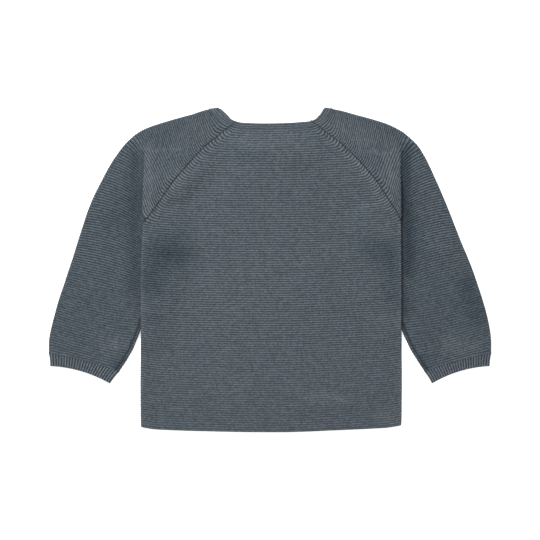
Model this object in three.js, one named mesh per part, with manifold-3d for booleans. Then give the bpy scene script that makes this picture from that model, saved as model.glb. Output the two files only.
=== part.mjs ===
// Baby cardigan, knitted in fine garter stitch with raglan sleeves, lying flat on its fronts with the back up.
//
// Frame: millimetres, X across the garment, Y from the hem up to the neck, Z up. The origin is the middle of the
// outline, on the surface that the garment lies on.
//
// The back lies over the two fronts, which lap at the centre front over five buttons. Each sleeve is one flattened
// tube. It is turned down towards the body, so a tuck forms at the underarm: the body's side edge and a fold of the
// sleeve above it lie over the rest of the sleeve, which comes out from under them lower down.
//
// The two sides differ a little. Each table gives the mean of both sides as a distance "across" from the centre
// line, and "lean", by which both sides are shifted towards +X at that place.

import * as THREE from "three";
import { mergeVertices } from "three/addons/utils/BufferGeometryUtils.js";
import Module from "manifold-3d";

// Cloth
const WALL = 1.5;
const SEAM_GAP = 0.3;
const TWO_PLY = 2 * WALL + SEAM_GAP;
const LIFT = TWO_PLY + SEAM_GAP;
const EDGE_HALF = 0.6;
const FOLD_RADIUS = TWO_PLY / 2;
const CUT_EDGE_RADIUS = 0.5;

// Front opening and its buttons
const LAP_HALF = 12.5;
const BUTTON_RADIUS = 5.75;
const BUTTON_THICK = 1.8;
const BUTTON_COUNT = 5;
const BUTTON_TOP_Y = 92;
const BUTTON_STEP = 56;
const BUTTON_LINE_X = 0.7;
const BUTTON_FACETS = 16;
const BAND_LIFT = BUTTON_THICK + SEAM_GAP;
const BAND_FLAT_HALF = 7;
const LAP_GAP = 0.5;
const BAND_FALL_END = 22;
const LAP_FALL_END = 28;
const FRONT_NECK_Y = 110;

// Neckband and cuffs
const NECKBAND_WIDTH = 5.5;
const CUFF_RIBS = 22;
const CUFF_RIB_HEIGHT = 0.5;
const CUFF_GAP = 0.35;

// Heights at which the lift over the tucked sleeve starts and ends, from the neck down
const TUCK = { start: 113, full: 70, leave: -54, gone: -80, fade: 28, margin: 3.5, slack: 0.5 };

// Side of the body from the hem to the underarm, then the raglan seam up to the neckband
const SIDE = [
  { y: -146.5, across: 119, lean: 0.8 },
  { y: -143, across: 120.4, lean: 0.9 },
  { y: -120, across: 120.9, lean: 1 },
  { y: -60, across: 120.6, lean: 1.1 },
  { y: 0, across: 120.6, lean: 1.1 },
  { y: 44, across: 119.4, lean: 1.9 },
];
const RAGLAN = [
  { y: 44, across: 119.4, lean: 1.9 },
  { y: 49, across: 116.1, lean: 3.4 },
  { y: 57.4, across: 110.8, lean: 4.2 },
  { y: 65.2, across: 105.4, lean: 4.5 },
  { y: 73.5, across: 99.8, lean: 4.6 },
  { y: 85.1, across: 91.7, lean: 4.8 },
  { y: 93.6, across: 84.2, lean: 4.9 },
  { y: 103, across: 76, lean: 4.7 },
  { y: 112.4, across: 67.2, lean: 4.3 },
  { y: 122.1, across: 55.3, lean: 4.3 },
  { y: 138, across: 34.5, lean: 3.6 },
];
// Fold of the sleeve that lies over its own lower part, in line with the body's side
const TUCK_FOLD = [
  { y: 42, across: 120.4, lean: 1.2 },
  { y: 75, across: 119.6, lean: 2 },
  { y: 116, across: 118.2, lean: 2.5 },
];
// Hem, from the left corner to the right one
const HEM = [
  { x: -118.2, y: -146.5 },
  { x: -110, y: -147.2 },
  { x: -92, y: -148.3 },
  { x: -60, y: -149.2 },
  { x: -20, y: -149.9 },
  { x: 20, y: -149.9 },
  { x: 55, y: -148.6 },
  { x: 92, y: -147 },
  { x: 119.8, y: -146.3 },
];
// Upper edge of the neckband across the back, from shoulder to shoulder
const BACK_NECK = [
  { x: -48.1, y: 149.9 },
  { x: -43.5, y: 146 },
  { x: -37.9, y: 140.6 },
  { x: -30, y: 137.3 },
  { x: -14, y: 136 },
  { x: 0, y: 135.9 },
  { x: 14, y: 136.2 },
  { x: 30, y: 137.2 },
  { x: 38, y: 138.2 },
  { x: 43.8, y: 140.7 },
  { x: 48, y: 145 },
  { x: 51.2, y: 149.9 },
];
// Upper edge of the neckband on one front, as a share of the way from the shoulder to the centre front
const FRONT_NECK = [
  { way: 0, drop: 0 },
  { way: 0.076, drop: 0.098 },
  { way: 0.168, drop: 0.233 },
  { way: 0.25, drop: 0.4 },
  { way: 0.365, drop: 0.65 },
  { way: 0.56, drop: 0.875 },
  { way: 0.79, drop: 0.98 },
  { way: 1, drop: 1 },
];
// Sleeve, a row for each knitted row that is followed: from its inner edge through a middle point to the outer fold.
// The first rows start on the raglan seam at inY. The next ones start at the underarm edge, which the body hides.
const SLEEVE = [
  { inY: 131.6, midX: 48.9, midY: 139.7, outX: 56.2, outY: 149.1, outLean: 1.2 },
  { inY: 122.1, midX: 60.2, midY: 134.7, outX: 64.1, outY: 147.4, outLean: 2.1 },
  { inY: 112.4, midX: 72, midY: 128.3, outX: 75.7, outY: 144.3, outLean: 3 },
  { inY: 103, midX: 81.7, midY: 122.2, outX: 86.2, outY: 141.5, outLean: 3 },
  { inY: 93.6, midX: 91.4, midY: 116, outX: 97.3, outY: 138.3, outLean: 2.9 },
  { inY: 85.1, midX: 99.7, midY: 110, outX: 106.9, outY: 135.2, outLean: 2.4 },
  { inY: 73.5, midX: 108, midY: 108, outX: 116.9, outY: 131, outLean: 1.2 },
  { inY: 65.2, midX: 113.8, midY: 101.7, outX: 126, outY: 125.3, outLean: 0.7 },
  { inX: 101.5, inY: 57, inLean: 2, midX: 118.6, midY: 100, outX: 135.3, outY: 116.6, outLean: 0.7 },
  { inX: 99, inY: 50, inLean: 1, midX: 118.6, midY: 90.6, outX: 142.6, outY: 106.4, outLean: 0.2 },
  { inX: 98.2, inY: 43.5, inLean: 0, midX: 118.6, midY: 78.6, outX: 148.5, outY: 96.2, outLean: -0.5 },
  { inX: 98, inY: 36, inLean: 0, midX: 118.6, midY: 64.8, outX: 154.9, outY: 83.3, outLean: -1 },
  { inX: 98, inY: 28, inLean: 0, midX: 118.6, midY: 51, outX: 161.5, outY: 69.4, outLean: -1.5 },
  { inX: 98.6, inY: 19.2, inLean: 0, midX: 118.6, midY: 37, outX: 167.6, outY: 54.6, outLean: -1.5 },
  { inX: 100, inY: 9.8, inLean: 0, midX: 118.6, midY: 23.2, outX: 172.8, outY: 40.2, outLean: -1.1 },
  { inX: 101.9, inY: 0, inLean: 0, midX: 118.6, midY: 9.3, outX: 177.8, outY: 26.2, outLean: -0.6 },
  { inX: 104.6, inY: -10.6, inLean: 0, midX: 118.6, midY: -4.6, outX: 182.8, outY: 12.5, outLean: 0.2 },
  { inX: 108.2, inY: -21.7, inLean: 0, midX: 124, midY: -17.4, outX: 188, outY: -1.9, outLean: 0.6 },
  { inX: 112.9, inY: -33.3, inLean: 0.4, midX: 138, midY: -29.6, outX: 192.6, outY: -15.7, outLean: 0.7 },
  { inX: 117.4, inY: -45.3, inLean: 1.4, midX: 144, midY: -42.6, outX: 197, outY: -29.1, outLean: 0.6 },
  { inX: 123.3, inY: -60.1, inLean: 1.7, midX: 150, midY: -56.6, outX: 200.8, outY: -43, outLean: 0.6 },
  { inX: 128.8, inY: -74, inLean: 1.8, midX: 154, midY: -69.2, outX: 203.6, outY: -55.5, outLean: 0.3 },
  { inX: 134.5, inY: -84.2, inLean: 1.8, midX: 159, midY: -78.4, outX: 205, outY: -65.7, outLean: 0 },
  { inX: 141.3, inY: -94.4, inLean: 1.7, midX: 168, midY: -85.4, outX: 205, outY: -77.2, outLean: 0 },
];
const FIRST_HIDDEN_ROW = 8;
// Lower edge of a cuff, from its inner corner through a middle point to its outer corner
const CUFF_END = {
  inX: 148.4,
  inY: -104.2,
  inLean: 0.9,
  midX: 176.2,
  midY: -92.6,
  outX: 203.6,
  outY: -88,
  outLean: -0.1,
};
const CUFF_DEPTH = 11;

const COLOURS = {
  back: 0x565e65,
  front: 0x555d63,
  sleeve: 0x535b62,
  cuff: 0x525b62,
  neckband: 0x585f66,
  button: 0x3f464c,
};
const KNIT_ROUGHNESS = 0.92;
const BUTTON_ROUGHNESS = 0.45;

const wasm = await Module();
wasm.setup();

const v3 = (x, y, z) => new THREE.Vector3(x, y, z);
const mix = (a, b, t) => a + (b - a) * t;

function smooth(t) {
  const s = Math.min(1, Math.max(0, t));
  return s * s * (3 - 2 * s);
}

// Value of one column of a table at a place along another, with the table in rising or falling order.
function read(table, key, at, column) {
  const rising = table[table.length - 1][key] > table[0][key];
  let i = 0;
  while (i < table.length - 2 && (rising ? at > table[i + 1][key] : at < table[i + 1][key])) i += 1;
  const a = table[i];
  const b = table[i + 1];
  const t = Math.min(1, Math.max(0, (at - a[key]) / (b[key] - a[key])));
  return mix(a[column], b[column], t);
}

// Height of the body above the surface, where the tucked sleeve lies under it.
function tuckShare(y) {
  const down = smooth((TUCK.start - y) / (TUCK.start - TUCK.full));
  const up = smooth((y - TUCK.gone) / (TUCK.leave - TUCK.gone));
  return down * up;
}

// Inner edge of the sleeve's lower ply: the raglan seam, and below it the edge that the body hides.
const seamRows = SLEEVE.slice(0, FIRST_HIDDEN_ROW).map(({ inY }) => ({
  y: inY,
  across: read(RAGLAN, "y", inY, "across"),
  lean: read(RAGLAN, "y", inY, "lean"),
}));
const hiddenRows = SLEEVE.slice(FIRST_HIDDEN_ROW, FIRST_HIDDEN_ROW + 12).map(({ inY, inX, inLean }) => ({
  y: inY,
  across: inX,
  lean: inLean,
}));
const INNER_EDGE = [...seamRows, ...hiddenRows];

function tuckCover(x, y) {
  const across = Math.abs(x - read(INNER_EDGE, "y", y, "lean"));
  const inside = read(INNER_EDGE, "y", y, "across") - TUCK.margin - across;
  return tuckShare(y) * (1 - smooth(inside / TUCK.fade));
}

const bodyLift = (x, y) => LIFT * tuckCover(x, y);

// Heights of the three layers at the centre front: the outer front over the buttons, the inner front, the back.
const fallShare = (x, from, to) => 1 - smooth((Math.abs(x) - from) / (to - from));
const bandLift = (x) => BAND_LIFT * fallShare(x, BAND_FLAT_HALF, BAND_FALL_END);
const lapLift = (x) => (WALL + LAP_GAP) * fallShare(x, LAP_HALF + 1, LAP_FALL_END);

function outerFrontZ(x, y) {
  return bodyLift(x, y) + bandLift(x);
}

function innerFrontZ(x, y) {
  return bodyLift(x, y) + bandLift(x) + lapLift(x);
}

// The back spans the lap as one broad, low swell that fades out towards the neck.
function backZ(x, y) {
  const reach = mix(105, 50, smooth((y - 30) / 70));
  const swell = (BAND_LIFT + WALL + LAP_GAP) * fallShare(x, LAP_HALF, reach);
  const fade = 1 - smooth((y - 114) / 20);
  const cover = tuckCover(x, y);
  const slack = TUCK.slack * 4 * cover * (1 - cover);
  return LIFT * cover + slack + WALL + SEAM_GAP + swell * fade;
}

// Fall of an outer face towards a rounded edge, at a distance from that edge.
function edgeFall(distance, radius) {
  if (distance >= radius) return 0;
  return radius - Math.sqrt(Math.max(0, radius * radius - (radius - distance) ** 2));
}

// A list of points and triangles that closes into one skin.
class Skin {
  constructor() {
    this.points = [];
    this.faces = [];
  }

  addPoint(p) {
    this.points.push(p.x, p.y, p.z);
    return this.points.length / 3 - 1;
  }

  addQuad(a, b, c, d) {
    this.faces.push(a, b, c, a, c, d);
  }

  signedVolume() {
    const at = (i) => v3(this.points[3 * i], this.points[3 * i + 1], this.points[3 * i + 2]);
    let sum = 0;
    for (let i = 0; i < this.faces.length; i += 3) {
      const a = at(this.faces[i]);
      sum += a.dot(at(this.faces[i + 1]).cross(at(this.faces[i + 2])));
    }
    return sum / 6;
  }

  geometry() {
    if (this.signedVolume() < 0) this.faces.reverse();
    const made = new THREE.BufferGeometry();
    made.setAttribute("position", new THREE.Float32BufferAttribute(this.points, 3));
    made.setIndex(this.faces);
    return mergeVertices(made, 1e-4);
  }
}

// A panel: two grids of the same size, its upper and lower face, joined round the rim.
function panelSkin(upper, lower) {
  const skin = new Skin();
  const top = upper.map((row) => row.map((p) => skin.addPoint(p)));
  const under = lower.map((row) => row.map((p) => skin.addPoint(p)));
  const lastRow = top.length - 1;
  const lastCol = top[0].length - 1;
  for (let j = 0; j < lastRow; j += 1) {
    for (let i = 0; i < lastCol; i += 1) {
      skin.addQuad(top[j][i], top[j][i + 1], top[j + 1][i + 1], top[j + 1][i]);
      skin.addQuad(under[j][i], under[j + 1][i], under[j + 1][i + 1], under[j][i + 1]);
    }
    skin.addQuad(top[j][0], top[j + 1][0], under[j + 1][0], under[j][0]);
    skin.addQuad(top[j + 1][lastCol], top[j][lastCol], under[j][lastCol], under[j + 1][lastCol]);
  }
  for (let i = 0; i < lastCol; i += 1) {
    skin.addQuad(top[0][i + 1], top[0][i], under[0][i], under[0][i + 1]);
    skin.addQuad(top[lastRow][i], top[lastRow][i + 1], under[lastRow][i + 1], under[lastRow][i]);
  }
  return skin.geometry();
}

// Share of the way round a loop at which each of its points lies, seen in plan.
function sharesRound(points) {
  const steps = points.map((p, k) => {
    const next = points[(k + 1) % points.length];
    return Math.hypot(p.x - next.x, p.y - next.y);
  });
  const whole = steps.reduce((sum, step) => sum + step, 0);
  let passed = 0;
  return steps.map((step) => {
    const share = passed / whole;
    passed += step;
    return share;
  });
}

// The end of a tube: a band of triangles from its outer loop to its slit, or a fan where it has none.
function closeEnd(skin, outside, inside, outerPoints, innerPoints, forward) {
  const add = (a, b, c) => (forward ? skin.faces.push(a, b, c) : skin.faces.push(a, c, b));
  if (!inside) {
    for (let k = 1; k < outside.length - 1; k += 1) add(outside[0], outside[k], outside[k + 1]);
    return;
  }
  const outerShare = [...sharesRound(outerPoints), 1];
  const innerShare = [...sharesRound(innerPoints), 1];
  let i = 0;
  let j = 0;
  while (i < outside.length || j < inside.length) {
    const a = outside[i % outside.length];
    const b = inside[j % inside.length];
    if (j >= inside.length || (i < outside.length && outerShare[i + 1] <= innerShare[j + 1])) {
      add(a, outside[(i + 1) % outside.length], b);
      i += 1;
    } else {
      add(a, inside[(j + 1) % inside.length], b);
      j += 1;
    }
  }
}

// A flattened tube: outer loops and, inside them, the loops of the slit between its two plies. Open at both ends.
function tubeSkin(outer, inner) {
  const skin = new Skin();
  const outside = outer.map((loop) => loop.map((p) => skin.addPoint(p)));
  const inside = inner ? inner.map((loop) => loop.map((p) => skin.addPoint(p))) : null;
  for (let j = 0; j < outside.length - 1; j += 1) {
    outside[j].forEach((_, k, loop) => {
      const next = (k + 1) % loop.length;
      skin.addQuad(loop[k], loop[next], outside[j + 1][next], outside[j + 1][k]);
    });
    if (!inside) continue;
    inside[j].forEach((_, k, loop) => {
      const next = (k + 1) % loop.length;
      skin.addQuad(loop[k], inside[j + 1][k], inside[j + 1][next], loop[next]);
    });
  }
  const last = outside.length - 1;
  closeEnd(skin, outside[0], inside && inside[0], outer[0], inner && inner[0], false);
  closeEnd(skin, outside[last], inside && inside[last], outer[last], inner && inner[last], true);
  return skin.geometry();
}

// A closed geometry as a solid that can be joined, and back.
function solidFrom(geometry) {
  const merged = mergeVertices(geometry, 1e-4);
  const vertProperties = merged.attributes.position.array;
  const triVerts = new Uint32Array(merged.index.array);
  return new wasm.Manifold(new wasm.Mesh({ numProp: 3, vertProperties, triVerts }));
}

function geometryFrom(solid) {
  const mesh = solid.getMesh();
  const points = [];
  for (let i = 0; i < mesh.numVert; i += 1) {
    points.push(...mesh.vertProperties.subarray(i * mesh.numProp, i * mesh.numProp + 3));
  }
  const made = new THREE.BufferGeometry();
  made.setAttribute("position", new THREE.Float32BufferAttribute(points, 3));
  made.setIndex([...mesh.triVerts]);
  return made;
}

const cardigan = new THREE.Group();

function addPiece(name, geometry, colour, roughness = KNIT_ROUGHNESS) {
  const shown = geometry.toNonIndexed();
  shown.computeVertexNormals();
  const material = new THREE.MeshStandardMaterial({ color: colour, roughness, metalness: 0 });
  const piece = new THREE.Mesh(shown, material);
  piece.name = name;
  cardigan.add(piece);
}

// Neck edges. A curve gives the upper edge, and the panels start below the band's lower edge.
const curveThrough = (points) => new THREE.CatmullRomCurve3(points, false, "centripetal");
const backNeck = curveThrough(BACK_NECK.map((p) => v3(p.x, p.y, 0)));

function frontNeckCurve(side) {
  const shoulder = side < 0 ? BACK_NECK[0] : BACK_NECK[BACK_NECK.length - 1];
  const endX = -side * LAP_HALF;
  return curveThrough(
    FRONT_NECK.map(({ way, drop }) => v3(mix(shoulder.x, endX, way), mix(shoulder.y, FRONT_NECK_Y, drop), 0)),
  );
}

// The direction from the neck edge to the panel, square to the edge but turned to the sleeve's fold at a shoulder.
function bandWay(curve, u, side) {
  const along = curve.getTangent(u);
  const square = v3(along.y, -along.x, 0);
  if (square.y > 0) square.negate();
  const fold = v3(side * 0.99, -0.13, 0);
  const distance = Math.min(u, 1) * curve.getLength();
  return fold.lerp(square, smooth(distance / 9)).normalize();
}

function belowBand(curve, u, side, extra) {
  return curve.getPoint(u).addScaledVector(bandWay(curve, u, side), NECKBAND_WIDTH + extra);
}

// The share of a neck curve at which the band's lower edge meets the raglan seam.
function raglanShare(curve, side) {
  let low = 0;
  let high = 0.5;
  for (let step = 0; step < 30; step += 1) {
    const mid = (low + high) / 2;
    const p = belowBand(curve, mid, side, SEAM_GAP);
    const seam = side * read(RAGLAN, "y", p.y, "across") + read(RAGLAN, "y", p.y, "lean");
    if (side * (p.x - seam) > 0) low = mid;
    else high = mid;
  }
  return high;
}

const reversedBackNeck = curveThrough(BACK_NECK.map((p) => v3(p.x, p.y, 0)).reverse());

// Side edge of the body, from hem to underarm to the top of the raglan seam, kept a seam gap clear of the sleeve.
function sideEdge(side, v, topY, gap) {
  const underarm = RAGLAN[0].y;
  const split = UNDERARM_SHARE;
  const onSide = v < split;
  const y = onSide ? mix(SIDE[0].y, underarm, v / split) : mix(underarm, topY, (v - split) / (1 - split));
  const table = onSide ? SIDE : RAGLAN;
  const slopeGap = onSide ? 0 : gap * smooth((v - split) / 0.01);
  return v3(side * (read(table, "y", y, "across") - slopeGap) + read(table, "y", y, "lean"), y, 0);
}

// Four edge curves filled in as a grid, with the given shares across and up.
function fillGrid(hem, top, left, right, across, up) {
  const corner = { hl: hem(0), hr: hem(1), tl: top(0), tr: top(1) };
  return up.map((v) => {
    const width = left(v).distanceTo(right(v));
    return across(width).map((u) => {
      const p = hem(u).multiplyScalar(1 - v).addScaledVector(top(u), v);
      p.addScaledVector(left(v), 1 - u).addScaledVector(right(v), u);
      p.addScaledVector(corner.hl, -(1 - u) * (1 - v)).addScaledVector(corner.hr, -u * (1 - v));
      return p.addScaledVector(corner.tl, -(1 - u) * v).addScaledVector(corner.tr, -u * v);
    });
  });
}

// Shares across a panel of a given width, from the distances of its first lines from each edge.
const ROUND_EDGE = [0, 0.4, 1.5];
const LAP_EDGE = [0, 0.5, 5.5, 12.5, 19.5, 26.5, 34, 41];

function acrossShares(width, cells, left, right) {
  const from = left[left.length - 1] / width;
  const to = 1 - right[right.length - 1] / width;
  const middle = [];
  for (let i = 1; i < cells; i += 1) middle.push(mix(from, to, i / cells));
  return [...left.map((d) => d / width), ...middle, ...right.map((d) => 1 - d / width).reverse()];
}

// Shares up a panel at which its lines lie, from the hem past the underarm to the neck.
const UNDERARM_SHARE = 0.62;
const PANEL_UP = [
  ...[0, 0.002, 0.05, 0.11, 0.17, 0.22, 0.27, 0.315, 0.35, 0.4, 0.46, 0.52, 0.57, 0.605],
  ...[UNDERARM_SHARE, 0.65, 0.69, 0.73, 0.77, 0.81, 0.85, 0.89, 0.93, 0.965, 0.994, 1],
];

// How far an outer face falls at the rim of a panel, for a point and its nearest edges.
function rimFall(sideGap, v, onSeam) {
  const sideFall = edgeFall(sideGap, onSeam ? CUT_EDGE_RADIUS : WALL * 0.95);
  const endFall = v === 0 || v === 1 ? CUT_EDGE_RADIUS * 0.7 : 0;
  return Math.max(sideFall, endFall);
}

function hemPoint(fromX, toX) {
  return (u) => {
    const x = mix(fromX, toX, u);
    return v3(x, read(HEM, "x", x, "y"), 0);
  };
}

// The seams run aslant, so a gap across them takes one and a half times as much along X.
const SEAM_CLEAR = SEAM_GAP * 1.5;

// A panel's side edge with its two ends set exactly on the corners.
function panelEdge(side, hemCorner, topCorner) {
  return (v) => {
    if (v === 0) return hemCorner.clone();
    if (v === 1) return topCorner.clone();
    return sideEdge(side, v, topCorner.y, SEAM_CLEAR);
  };
}

function buildBack() {
  const shareLeft = raglanShare(backNeck, -1);
  const shareRight = 1 - raglanShare(reversedBackNeck, 1);
  const topLeft = belowBand(backNeck, shareLeft, -1, SEAM_GAP);
  const topRight = belowBand(reversedBackNeck, 1 - shareRight, 1, SEAM_GAP);
  topLeft.x += SEAM_CLEAR;
  topRight.x -= SEAM_CLEAR;
  const hem = hemPoint(HEM[0].x, HEM[HEM.length - 1].x);
  const top = (u) => {
    const share = mix(shareLeft, shareRight, u);
    if (u === 0) return topLeft.clone();
    if (u === 1) return topRight.clone();
    if (share < 0.5) return belowBand(backNeck, share, -1, SEAM_GAP);
    return belowBand(reversedBackNeck, 1 - share, 1, SEAM_GAP);
  };
  const left = panelEdge(-1, hem(0), topLeft);
  const right = panelEdge(1, hem(1), topRight);
  const shares = (width) => acrossShares(width, 28, ROUND_EDGE, ROUND_EDGE);
  const plan = fillGrid(hem, top, left, right, shares, PANEL_UP);
  const upper = plan.map((row, j) => {
    const onSeam = PANEL_UP[j] > UNDERARM_SHARE;
    return row.map((p) => {
      const gap = Math.min(p.distanceTo(row[0]), p.distanceTo(row[row.length - 1]));
      return v3(p.x, p.y, backZ(p.x, p.y) + WALL - rimFall(gap, PANEL_UP[j], onSeam));
    });
  });
  const lower = plan.map((row) => row.map((p) => v3(p.x, p.y, backZ(p.x, p.y))));
  addPiece("back", panelSkin(upper, lower), COLOURS.back);
}

function buildFront(name, side, baseZ) {
  const neck = frontNeckCurve(side);
  const share = raglanShare(neck, side);
  const corner = belowBand(neck, share, side, SEAM_GAP);
  corner.x -= side * SEAM_CLEAR;
  const centreX = -side * LAP_HALF;
  const neckEnd = belowBand(neck, 1, side, SEAM_GAP);
  const hemCorner = side < 0 ? HEM[0].x : HEM[HEM.length - 1].x;
  const hem = hemPoint(hemCorner, centreX);
  const top = (u) => {
    if (u === 0) return corner.clone();
    if (u === 1) return v3(centreX, neckEnd.y, 0);
    return belowBand(neck, mix(share, 1, u), side, SEAM_GAP);
  };
  const outer = panelEdge(side, hem(0), corner);
  const centre = (v) => v3(centreX, mix(hem(1).y, neckEnd.y, v), 0);
  const shares = (width) => acrossShares(width, 9, ROUND_EDGE, LAP_EDGE);
  const plan = fillGrid(hem, top, outer, centre, shares, PANEL_UP);
  const upper = plan.map((row) => row.map((p) => v3(p.x, p.y, baseZ(p.x, p.y) + WALL)));
  const lower = plan.map((row, j) => {
    const onSeam = PANEL_UP[j] > UNDERARM_SHARE;
    return row.map((p) => v3(p.x, p.y, baseZ(p.x, p.y) + rimFall(p.distanceTo(row[0]), PANEL_UP[j], onSeam)));
  });
  addPiece(name, panelSkin(upper, lower), COLOURS.front);
}

// One row of a sleeve or cuff as a curve through its three points, by distance from the inner edge.
function rowCurve(row, side) {
  const at = (x, lean, y) => v3(side * x + lean, y, 0);
  const onSeam = row.inX === undefined;
  const inX = onSeam ? read(RAGLAN, "y", row.inY, "across") : row.inX;
  const inLean = onSeam ? read(RAGLAN, "y", row.inY, "lean") : row.inLean;
  const a = at(inX, inLean, row.inY);
  const b = at(row.midX, (inLean + row.outLean) / 2, row.midY);
  const c = at(row.outX, row.outLean, row.outY);
  const tb = a.distanceTo(b) / (a.distanceTo(b) + b.distanceTo(c));
  const length = a.distanceTo(b) + b.distanceTo(c);
  const point = (d) => {
    const t = d / length;
    const wa = ((t - tb) * (t - 1)) / tb;
    const wb = (t * (t - 1)) / (tb * (tb - 1));
    const wc = (t * (t - tb)) / (1 - tb);
    return v3(0, 0, 0).addScaledVector(a, wa).addScaledVector(b, wb).addScaledVector(c, wc);
  };
  return { point, length };
}

// Distances along a row, close together at both edges.
function rowSteps(length, cells, innerRound, outerRound) {
  const steps = [0, innerRound * 0.3];
  for (let i = 0; i <= cells; i += 1) steps.push(mix(innerRound, length - outerRound, i / cells));
  steps.push(length - outerRound * 0.3, length);
  return steps;
}

function halfThick(d, length, innerRound, outerRound) {
  const full = TWO_PLY / 2;
  const rise = (distance, radius) => (radius - edgeFall(distance, radius)) / radius;
  const share = Math.min(rise(d, innerRound), rise(length - d, outerRound));
  return mix(EDGE_HALF, full, share);
}

const SLEEVE_CELLS = 6;

function sleeveLoops(side) {
  const outer = [];
  const inner = [];
  SLEEVE.forEach((row, j) => {
    const { point, length } = rowCurve(row, side);
    const innerRound = j < FIRST_HIDDEN_ROW ? CUT_EDGE_RADIUS : FOLD_RADIUS;
    const loop = (places, half) => {
      const up = places.map((d) => point(d).setZ(TWO_PLY / 2 + half(d)));
      const down = places.map((d) => point(d).setZ(TWO_PLY / 2 - half(d)));
      return [...up, ...down.reverse()];
    };
    const steps = rowSteps(length, SLEEVE_CELLS, innerRound, FOLD_RADIUS);
    outer.push(loop(steps, (d) => halfThick(d, length, innerRound, FOLD_RADIUS)));
    const slit = [];
    for (let i = 0; i <= SLEEVE_CELLS; i += 1) slit.push(mix(WALL, length - WALL, i / SLEEVE_CELLS));
    inner.push(loop(slit, () => SEAM_GAP / 2));
  });
  return { outer, inner };
}

// The tuck: the plies that are folded under the body's line share one rounded solid that stands on the sleeve.
const TUCK_ROWS = 12;
const TUCK_SINK = 0.8;

function tuckSolid(side) {
  const upper = [];
  const lower = [];
  for (let j = 0; j <= TUCK_ROWS; j += 1) {
    const y = mix(TUCK.start - 1, RAGLAN[0].y + 1, j / TUCK_ROWS);
    const foldX = side * read(TUCK_FOLD, "y", y, "across") + read(TUCK_FOLD, "y", y, "lean");
    const seamX = side * (read(RAGLAN, "y", y, "across") + 0.15) + read(RAGLAN, "y", y, "lean");
    const width = Math.abs(foldX - seamX);
    const top = TWO_PLY + LIFT * tuckShare(y) - 0.1 * (1 - tuckShare(y));
    const round = Math.min(FOLD_RADIUS, width * 0.4, LIFT * tuckShare(y) + 0.05);
    const steps = [0, round * 0.12, round * 0.45, round, mix(round, width, 0.33), mix(round, width, 0.66), width];
    const way = Math.sign(seamX - foldX);
    upper.push(steps.map((d) => v3(foldX + way * d, y, top - edgeFall(d, round))));
    lower.push(steps.map((d) => v3(foldX + way * d, y, TWO_PLY - TUCK_SINK)));
  }
  return solidFrom(panelSkin(upper, lower));
}

function buildSleeve(name, side) {
  const { outer, inner } = sleeveLoops(side);
  const tube = solidFrom(tubeSkin(outer, inner));
  addPiece(name, geometryFrom(tube.add(tuckSolid(side))), COLOURS.sleeve);
}

// Cuff in one-and-one rib: the ribs are raised in the upper face, over a plain slit and a flat underside.
const CUFF_STATIONS = 4;
const POINTS_PER_RIB = 4;

function buildCuff(name, side) {
  const first = rowCurve(SLEEVE[SLEEVE.length - 1], side);
  const end = rowCurve(CUFF_END, side);
  const outer = [];
  const inner = [];
  for (let j = 0; j < CUFF_STATIONS; j += 1) {
    const share = mix(CUFF_GAP / CUFF_DEPTH, 1, j / (CUFF_STATIONS - 1));
    const draw = j === CUFF_STATIONS - 1 ? 0 : 0.7 * Math.sin(Math.PI * share);
    const length = mix(first.length, end.length, share);
    const point = (d) => {
      const inward = mix(draw, length - draw, d / length) / length;
      return first.point(inward * first.length).lerp(end.point(inward * end.length), share);
    };
    const half = (d) => halfThick(d, length, FOLD_RADIUS, FOLD_RADIUS);
    const flat = length - 2 * FOLD_RADIUS;
    const up = [point(0).setZ(TWO_PLY / 2 + EDGE_HALF)];
    for (let i = 0; i <= CUFF_RIBS * POINTS_PER_RIB; i += 1) {
      const d = FOLD_RADIUS + (flat * i) / (CUFF_RIBS * POINTS_PER_RIB);
      const wave = (CUFF_RIB_HEIGHT / 2) * Math.cos((2 * Math.PI * i) / POINTS_PER_RIB + Math.PI);
      up.push(point(d).setZ(TWO_PLY / 2 + half(d) + wave));
    }
    up.push(point(length).setZ(TWO_PLY / 2 + EDGE_HALF));
    const steps = rowSteps(length, SLEEVE_CELLS, FOLD_RADIUS, FOLD_RADIUS);
    const down = steps.map((d) => point(d).setZ(TWO_PLY / 2 - half(d)));
    outer.push([...up, ...down.reverse()]);
    const slit = [];
    const inset = WALL + 0.2;
    for (let i = 0; i <= SLEEVE_CELLS; i += 1) slit.push(mix(inset, length - inset, i / SLEEVE_CELLS));
    inner.push([
      ...slit.map((d) => point(d).setZ(TWO_PLY / 2 + SEAM_GAP / 2)),
      ...slit.map((d) => point(d).setZ(TWO_PLY / 2 - SEAM_GAP / 2)).reverse(),
    ]);
  }
  addPiece(name, tubeSkin(outer, inner), COLOURS.cuff);
}

// Neckband: one strip that starts at the centre front, turns over at each shoulder and ends at the centre front.
const BAND_STEPS = 13;
const TURN_STEPS = 4;

// The band's section: its neck edge and far edge have small bevels. Each pair is a share across and one up.
const BEVEL = 0.065;
const BAND_SECTION = [
  [BEVEL, 0],
  [1 - BEVEL, 0],
  [1, 0.25],
  [1, 0.75],
  [1 - BEVEL, 1],
  [BEVEL, 1],
  [0, 0.75],
  [0, 0.25],
];

function bandSection(edge, way, bottom, outwards) {
  return BAND_SECTION.map(([across, up]) => {
    const p = edge.clone().addScaledVector(way, NECKBAND_WIDTH * across);
    return p.add(bottom).addScaledVector(outwards, WALL * up);
  });
}

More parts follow.
